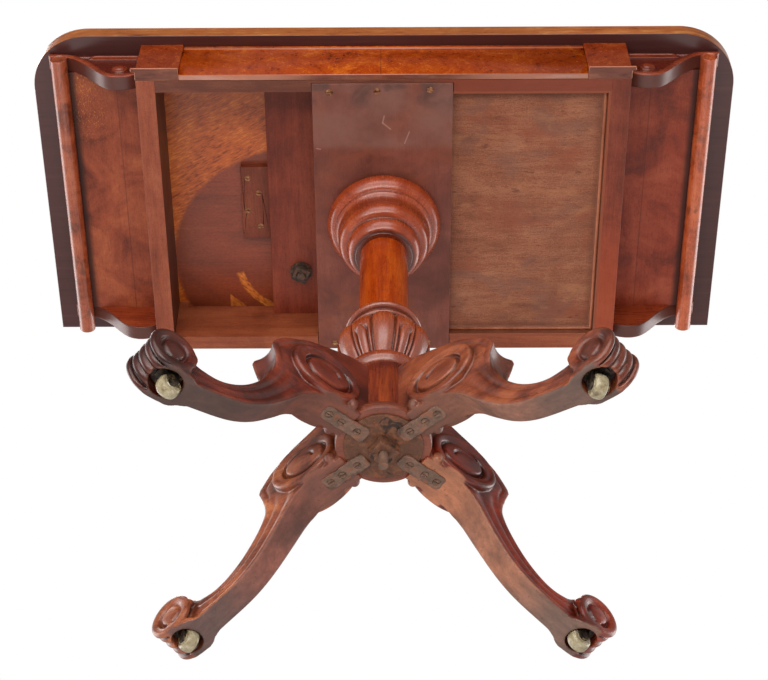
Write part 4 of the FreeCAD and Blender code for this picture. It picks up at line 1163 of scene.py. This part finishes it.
def soffit(name, seed, tones, flecks):
    """Painted shadow beside the roll, with some bright flecks of figure."""
    def then(m, col, r, f):
        ax = m.math("ABSOLUTE", m.x)
        fl_ = m.mul(m.range(m.noise(m.place((1, 0.35, 1), (seed, 0, 0)), 900, 2.0, 0.6), 0.58, 0.66),
                    m.mul(m.range(ax, 0.345, 0.39), m.range(m.y, -0.06, -0.12)))
        col = m.mix(m.mul(fl_, flecks), col, lin((206, 136, 58)))
        line = m.mul(m.range(m.math("ABSOLUTE", m.sub(ax, 0.3475)), 0.0012, 0.0003), 0.4)
        col = m.mix(line, col, lin((70, 28, 18)))
        # painted shadow in the gap beside the roll
        return m.mix(m.mul(m.range(ax, 0.396, 0.405), 0.85), col, lin((40, 15, 10))), r
    return rail(name, 1, seed, *tones, cloud=1.3, streak=0.28, then=then)


paint("soffit_left", soffit("soffit_left_wood", 10.1, ((98, 38, 22), (150, 70, 43), (182, 98, 62)), 0.8))
paint("soffit_right", soffit("soffit_right_wood", 11.1, ((88, 32, 18), (144, 58, 36), (172, 84, 56)), 0.15))
for n, w in (("front_rail", 0.7), ("back_rail", 0.7), ("end_rail_left", 0.9), ("end_rail_right", 0.9),
             ("pivot_batten", 0.8), ("stop_block", 0.9), ("well_bottom", 0.5),
             ("soffit_left", 0.6), ("soffit_right", 0.6)):
    soften(n, w)



def eased_box(x0, x1, y0, y1, z0, z1, r, seg=3):
    """A box with rounded arrises, as points and faces."""
    bm = bmesh.new()
    bmesh.ops.create_cube(bm, size=1.0)
    for v in bm.verts:
        v.co = (x0 if v.co.x < 0 else x1, y0 if v.co.y < 0 else y1, z0 if v.co.z < 0 else z1)
    bmesh.ops.bevel(bm, geom=bm.edges[:], offset=r, segments=seg, profile=0.5, affect="EDGES")
    bmesh.ops.recalc_face_normals(bm, faces=bm.faces[:])
    bm.verts.index_update()
    V = np.array([v.co[:] for v in bm.verts])
    Q = [[v.index for v in f.verts] for f in bm.faces]
    bm.free()
    return V, Q


def cut_with(o, tools):
    """o's mesh with closed tool meshes (points, faces) taken away."""
    made = []
    for V, Q in tools:
        me = bpy.data.meshes.new("tool")
        me.from_pydata((np.asarray(V) * MM).tolist(), [], [list(map(int, q)) for q in Q])
        t = bpy.data.objects.new("tool", me)
        scene.collection.objects.link(t)
        m = o.modifiers.new("cut", "BOOLEAN")
        m.operation, m.object, m.solver = "DIFFERENCE", t, "EXACT"
        made.append(t)
    bpy.context.view_layer.update()
    new = bpy.data.meshes.new_from_object(o.evaluated_get(bpy.context.evaluated_depsgraph_get()))
    o.modifiers.clear()
    mats = list(o.data.materials)
    o.data = new
    if not new.materials:
        for x in mats:
            new.materials.append(x)
    for t in made:
        bpy.data.objects.remove(t)
    return o


V, Q = eased_box(-90, 88, -205, 202, 613, 635, 1.0)
board = piece("pillar_board", V, Q, board_wood, "base", ("platform_board",), smooth=False)
cups = []
for px, fy in ((-68.0, -193.0), (-8.0, -194.2), (59.0, -196.0)):
    for py in (fy, 194.0):
        V, Q = lathe([(0, 612), (4.9, 612), (4.9, 613.0), (2.0, 615.7), (0, 615.7)], 24)
        cups.append((V + (px, py, 0), outward(V, Q)))
cut_with(board, cups)


def burr(name, seed, dark, mid, light):
    m = Mat(name)
    w = m.noise(m.place(loc=(seed, seed, 0)), 26, 4.0, 0.6, 1.6)
    v = m.voronoi(m.place((1, 1, 1), (seed, 0, seed)), 95)
    eyes = m.range(v, 0.0, 0.32, 1.0, 0.0)
    g = m.noise(m.place((1, 1, 1), (0, seed, 0)), 150, 5.0, 0.65, 2.0)
    f = m.add(m.add(m.mul(w, 0.55), m.mul(g, 0.4)), m.mul(eyes, -0.12))
    col = m.ramp(f, [(0.28, lin(dark)), (0.46, lin(mid)), (0.66, lin(light))])
    fine = m.noise(m.P, 800, 2.0, 0.6)
    col = m.shade(col, m.range(fine, 0.3, 0.7, 0.86, 1.12, "LINEAR"))
    gold = m.range(m.noise(m.place((0.6, 1, 1), (seed, seed, 2)), 330, 3.0, 0.65, 0.8), 0.60, 0.70)
    col = m.mix(m.mul(gold, 0.5), col, lin((226, 128, 22)))
    joint = m.range(m.math("ABSOLUTE", m.sub(m.x, -0.003)), 0.0009, 0.0003)
    col = m.mix(m.mul(joint, 0.45), col, lin(np.asarray(dark) * 0.6))
    pl = m.noise(m.place((0.3, 1, 1), (seed, 0, 0)), 70, 5.0, 0.65, 0.3)
    plain = m.ramp(pl, [(0.3, lin((80, 36, 24))), (0.5, lin((112, 60, 43))), (0.7, lin((138, 84, 62)))])
    col = m.mix(m.range(m.nz, -0.80, -0.95), col, plain)
    # painted highlight on the lower front arris
    side = m.math("MAXIMUM", m.math("ABSOLUTE", m.ny), m.math("ABSOLUTE", m.nx))
    arris = m.mul(m.range(m.nz, -0.25, -0.5), m.range(side, 0.25, 0.5))
    col = m.mix(m.mul(arris, 0.75), col, lin((186, 128, 104)))
    return m.done(col, m.range(g, 0.3, 0.7, 0.16, 0.28, "LINEAR"), m.bump(fine, 0.05, 0.0003), spec=0.3)


def extrude_x(section, x0, x1):
    """A closed (y, z) section drawn out along x, capped."""
    n = len(section)
    V = [(x0, y, z) for y, z in section] + [(x1, y, z) for y, z in section]
    Q = [(i, (i + 1) % n, n + (i + 1) % n, n + i) for i in range(n)]
    flags = [True] * n + [False, False]
    Q += [tuple(range(n))[::-1], tuple(range(n, 2 * n))]
    V = np.array(V, float)
    return V, outward(V, Q), flags


FACING = rounded(curve([
    (-209, 615.4), (-216.8, 615.4), (-217.4, 617.8), [(-219, 628), (-219.2, 642), (-217.6, 660), (-214.6, 678), (-212.4, 690)],
    (-212.4, 693.5), (-214, 695), (-214.6, 698), (-213.6, 700.8), (-209, 700.8)], 2.0), 1.6, True, 24)
V, Q, flags = extrude_x(FACING, -257, 257)
piece("burr_frieze_front", V, Q, burr("burr_frieze", 1.4, (110, 31, 2), (178, 67, 8), (222, 114, 28)), "base",
      ("frieze_facing",), smooth=flags)
d_lo, d_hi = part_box("die_right")
DIE = curve([(-209, 615.4), (-221.6, 615.4), (-221.6, 619.5), (-216.5, 700.8), (-209, 700.8)], 2.0)
f_die = Field(lambda u, v: seg_dist(u, v, DIE, True), -232, -203, 609, 707, 0.5)


def die_field(x, y, z):
    b = smax(f_die(y, z), np.maximum(257.4 - x, x - 312.6), 1.4)
    q = [np.abs(x - 287.4) - 30.2 + 1.7, np.abs(y + 223.6) - 3.0 + 1.7, np.abs(z - 617.2) - 1.8 + 1.7]
    lip = np.sqrt(sum(np.maximum(k, 0) ** 2 for k in q)) + np.minimum(np.maximum(np.maximum(q[0], q[1]), q[2]), 0) - 1.7
    return smin(b, lip, 0.6)


DV, DQ = surface(die_field, (255, -229, 613), (320, -206, 703), 0.9)
DV[:, 1] = np.maximum(DV[:, 1], d_lo[1] / MM)
DV[:, 2] = np.maximum(DV[:, 2], 615.4)
for k, (side, sg) in enumerate((("left", -1), ("right", 1))):
    piece("burr_die_" + side, DV * (sg, 1, 1), DQ if sg > 0 else DQ[:, ::-1],
          burr("burr_die_" + side, 4.4 + k, (98, 30, 8), (150, 57, 21), (180, 86, 38)), "base", ("die_" + side,))

# ------------------------------------------------------------------ leaves
def leaf(name, lower):
    m = Mat(name)
    top = m.range(m.nz, 0.4, 0.7)
    bot = m.range(m.nz, -0.4, -0.7)
    # edge veneer, its grain along the run, in lengths of differing tone
    g = m.noise(m.place((0.06, 0.06, 1), (2, 3, 1)), 330, 4.0, 0.6, 0.2)
    fl_ = m.noise(m.place((0.5, 0.5, 1)), 46, 4.0, 0.6, 0.8)
    ec = m.ramp(m.add(m.mul(g, 0.5), m.mul(fl_, 0.5)), [(0.32, lin((128, 60, 24))), (0.5, lin((184, 104, 50))),
                                                        (0.68, lin((212, 140, 78)))])
    seg = m.noise(m.place((1, 0, 0)), 5.0, 0.0)
    ec = m.shade(ec, m.range(seg, 0.3, 0.7, 0.9, 1.1, "LINEAR"))
    # show face: quartered walnut veneer, or the plain ground of the other side
    q = m.noise(m.place((1, 0.12, 1), (1, 2, 0)), 38, 5.0, 0.6, 1.4)
    f2 = m.noise(m.place((1, 0.03, 1)), 420, 3.0, 0.6)
    tcv = m.ramp(m.add(m.mul(q, 0.7), m.mul(f2, 0.3)), [(0.3, lin((70, 26, 10))), (0.5, lin((128, 62, 28))),
                                                        (0.7, lin((172, 104, 54)))])
    g4 = m.noise(m.place((0.06, 1, 1), (4, 1, 0)), 90, 4.0, 0.6, 0.3)
    f4 = m.noise(m.place((0.03, 1, 1), (4, 1, 0)), 420, 3.0, 0.6)
    dk = m.ramp(m.add(m.mul(g4, 0.55), m.mul(f4, 0.45)), [(0.3, lin((66, 33, 30))), (0.5, lin((76, 40, 37))),
                                                          (0.7, lin((87, 48, 45)))])
    col = dk
    if lower:
        inside = m.math("MULTIPLY", m.math("LESS_THAN", m.math("ABSOLUTE", m.x), 0.3), m.math("LESS_THAN", m.math("ABSOLUTE", m.y), 0.2))
        wn = m.ramp(m.add(m.mul(g4, 0.6), m.mul(f4, 0.4)), [(0.2, lin((106, 45, 25))), (0.5, lin((146, 66, 39))),
                                                            (0.8, lin((168, 88, 54)))])
        cl4 = m.noise(m.place((0.6, 1, 1), (3, 3, 0)), 22, 4.0, 0.62, 0.4)
        sp4 = m.noise(m.place((0.5, 1, 1), (2, 7, 0)), 480, 3.0, 0.7)
        wn = m.mix(m.range(cl4, 0.46, 0.68, 0.0, 0.5), wn, lin((112, 52, 36)))
        wn = m.shade(wn, m.range(sp4, 0.3, 0.7, 0.8, 1.2, "LINEAR"))
        px, py = m.sub(m.x, -0.11425), m.sub(m.y, 0.11425)
        rad = m.math("SQRT", m.add(m.mul(px, px), m.mul(py, py)))
        rough_edge = m.mul(m.sub(m.noise(m.place(loc=(5, 5, 0)), 210, 3.0, 0.6), 0.5), 0.007)
        rad = m.add(rad, rough_edge)
        cv = m.new("ShaderNodeCombineXYZ")
        m.wire(rad, cv.inputs[0])
        rings = m.noise(cv.outputs[0], 900, 3.0, 0.7)
        dg = m.noise(m.place((0.2, 1, 1), v=m.place(rot=(0, 0, 0.5))), 430, 4.0, 0.65, 0.5)
        cw = m.noise(m.place(loc=(9, 2, 0)), 26, 4.0, 0.6, 0.5)
        worn = m.ramp(m.add(m.add(m.mul(dg, 0.55), m.mul(rings, 0.15)), m.mul(cw, 0.3)), [(0.38, lin((138, 56, 16))), (0.5, lin((197, 94, 31))),
                                                              (0.63, lin((230, 132, 52)))])
        wn = m.mix(m.range(rad, 0.172, 0.180), wn, worn)
        ang = m.math("ARCTAN2", py, px)
        arc = m.mul(m.mul(m.range(rad, 0.083, 0.086), m.range(rad, 0.096, 0.093)),
                    m.mul(m.range(ang, 2.02, 2.08), m.range(ang, 2.92, 2.86)))
        tri = m.mul(m.range(m.x, -0.2172, -0.2158), m.range(m.sub(m.add(m.y, rough_edge), m.mul(m.x, 0.916)), 0.3697, 0.3715))
        arc = m.math("MAXIMUM", arc, m.mul(tri, 0.85))
        stroke = m.noise(m.place((1, 0.25, 1), v=m.place(rot=(0, 0, 0.75))), 420, 3.0, 0.65)
        wn = m.mix(m.mul(arc, 0.92), wn, m.ramp(stroke, [(0.34, lin((142, 66, 24))), (0.48, lin((214, 118, 46))),
                                                         (0.7, lin((236, 146, 70)))]))
        col = m.mix(inside, dk, wn)
    col = m.mix(top, ec, tcv)
    if lower:
        low = m.mix(inside, dk, wn)
        col = m.mix(bot, col, low)
    else:
        col = m.mix(bot, col, tcv)
    f4 = m.mul(f4, m.add(top, bot))
    r = m.range(f4, 0.0, 0.7, 0.24, 0.34, "LINEAR")
    return m.done(col, r, m.bump(f4, 0.1, 0.0003), spec=0.5)



def leaf_ring(off, pocket=False):
    if pocket:
        x1, y0, y1, r = 419.0, -190.5, 225.7, 37.0
    else:
        x1, y0, y1, r = 457.0 - off, -228.5 + off, 228.5 - off, 75.0 - off
    out = [(x1, y1), (-x1, y1)]
    for a in np.linspace(180, 270, 61):
        out.append((-x1 + r + r * math.cos(math.radians(a)), y0 + r + r * math.sin(math.radians(a))))
    for a in np.linspace(270, 360, 61):
        out.append((x1 - r + r * math.cos(math.radians(a)), y0 + r + r * math.sin(math.radians(a))))
    return np.array(out)


def leaf_mesh(z0, z1, floor_z, pocket_up):
    """A leaf with eased edges and the sunk field for its cloth."""
    zs, tight = [(0.9, 0.0), (0.35, 0.3), (0.0, 0.95), (0.0, 2.0)], [(0.0, 0.0), (0.0, 0.15)]
    lo_e, hi_e = (zs, tight) if pocket_up else (tight, zs)
    rings = [(leaf_ring(o), z0 + d) for o, d in lo_e] + [(leaf_ring(o), z1 - d) for o, d in hi_e[::-1]]
    if pocket_up:
        rings += [(leaf_ring(0, True), z1), (leaf_ring(0, True), floor_z)]
    else:
        rings = [(leaf_ring(0, True), floor_z), (leaf_ring(0, True), z0)] + rings
    n = len(rings[0][0])
    V = np.vstack([np.column_stack([p, np.full(n, z)]) for p, z in rings])
    Q, flags = [], []
    edge_rows = range(0, 5) if pocket_up else range(2, 7)
    for k in range(len(rings) - 1):
        for i in range(n):
            j = (i + 1) % n
            Q.append((k * n + i, k * n + j, (k + 1) * n + j, (k + 1) * n + i))
            flags.append(k in edge_rows)
    Q += [tuple(range(n))[::-1], tuple(range((len(rings) - 1) * n, len(rings) * n))]
    flags += [False, False]
    return V, outward(V, Q), flags


def hinge_seats(low):
    """Seats of the hinge plates in a back edge, and the hollow the knuckles lie in."""
    tools = []
    for hx in (-372.0, 372.0):
        z0, z1 = (704.4, 713.6) if low else (712.8, 722.0)
        tools.append(eased_box(hx - 25.1, hx + 25.1, 226.95, 230.0, z0, z1, 0.05, 1))
        V, Q = lathe([(0, -25.3), (2.75, -25.3), (2.75, 25.3), (0, 25.3)], 32)
        V = np.stack([V[:, 2] + hx, V[:, 0] + 228.75, V[:, 1] + 713.2], 1)
        tools.append((V, outward(V, Q)))
    return tools


LEAF_MAT = {True: leaf("lower_leaf_walnut", True), False: leaf("upper_leaf_walnut", False)}
for low, name, node, body, zz in ((True, "fixed_leaf_lower", "lower_leaf", "swivel_top", (701.5, 713.19, 711.4)),
                                  (False, "folding_leaf_upper", "upper_leaf", "folding_leaf", (713.21, 724.9, 715.0))):
    V, Q, flags = leaf_mesh(zz[0], zz[1], zz[2], low)
    o = piece(name, V, Q, LEAF_MAT[low], body, (node,), smooth=flags)
    cut_with(o, hinge_seats(low))

# ------------------------------------------------------------------ baize
felt = Mat("green_baize")
fib = felt.noise(felt.P, 1500, 4.0, 0.7)
pile = felt.noise(felt.place((1, 0.4, 1)), 700, 3.0, 0.6, 1.0)
wear = felt.noise(felt.P, 9, 4.0, 0.6, 0.5)
c = felt.ramp(felt.add(felt.mul(fib, 0.5), felt.mul(pile, 0.5)), [(0.3, lin((22, 58, 36))), (0.5, lin((40, 88, 56))),
                                                              (0.7, lin((66, 116, 78)))])
c = felt.mix(felt.mul(felt.range(wear, 0.45, 0.75), 0.4), c, lin((92, 118, 78)))
felt.done(c, 0.95, felt.bump(felt.add(fib, pile), 0.5, 0.0006), spec=0.15, sheen=0.25)


def cloth(name, z0, z1, body, node, up):
    x1, y0, y1, r = 418.8, -190.3, 225.5, 36.8
    ring = [(x1, y1), (-x1, y1)]
    for a in np.linspace(180, 270, 13):
        ring.append((-x1 + r + r * math.cos(math.radians(a)), y0 + r + r * math.sin(math.radians(a))))
    for a in np.linspace(270, 360, 13):
        ring.append((x1 - r + r * math.cos(math.radians(a)), y0 + r + r * math.sin(math.radians(a))))
    ring = np.array(ring)[::-1]
    n = len(ring)
    mid = np.array([0, 20.0])
    V, Q = [], []
    rows = []
    zt, zb = (z1, z0)
    for k, (s, z) in enumerate(((0.0, zb), (0.5, zb), (0.97, zb), (0.9985, zb + 0.1), (1.0, zb + 0.35), (1.0, zt - 0.35),
                                (0.9985, zt - 0.1), (0.97, zt), (0.5, zt), (0.0, zt))):
        if s == 0:
            rows.append([len(V)])
            V.append((*mid, z))
        else:
            rows.append(list(range(len(V), len(V) + n)))
            V.extend((*(mid + (p - mid) * s), z) for p in ring)
    for a, b in zip(rows[:-1], rows[1:]):
        for i in range(n):
            j = (i + 1) % n
            if len(a) == 1:
                Q.append((a[0], b[i], b[j]))
            elif len(b) == 1:
                Q.append((a[i], b[0], a[j]))
            else:
                Q.append((a[i], b[i], b[j], a[j]))
    V = np.array(V, float)
    o = piece(name, V, outward(V, Q), felt.m, body, (node,))
    return o


cloth("baize_lower", 711.5, 712.7, "swivel_top", "lower_baize", True)
cloth("baize_upper", 713.7, 714.9, "folding_leaf", "upper_baize", False)

# ------------------------------------------------------------------ view layer update
bpy.context.view_layer.update()
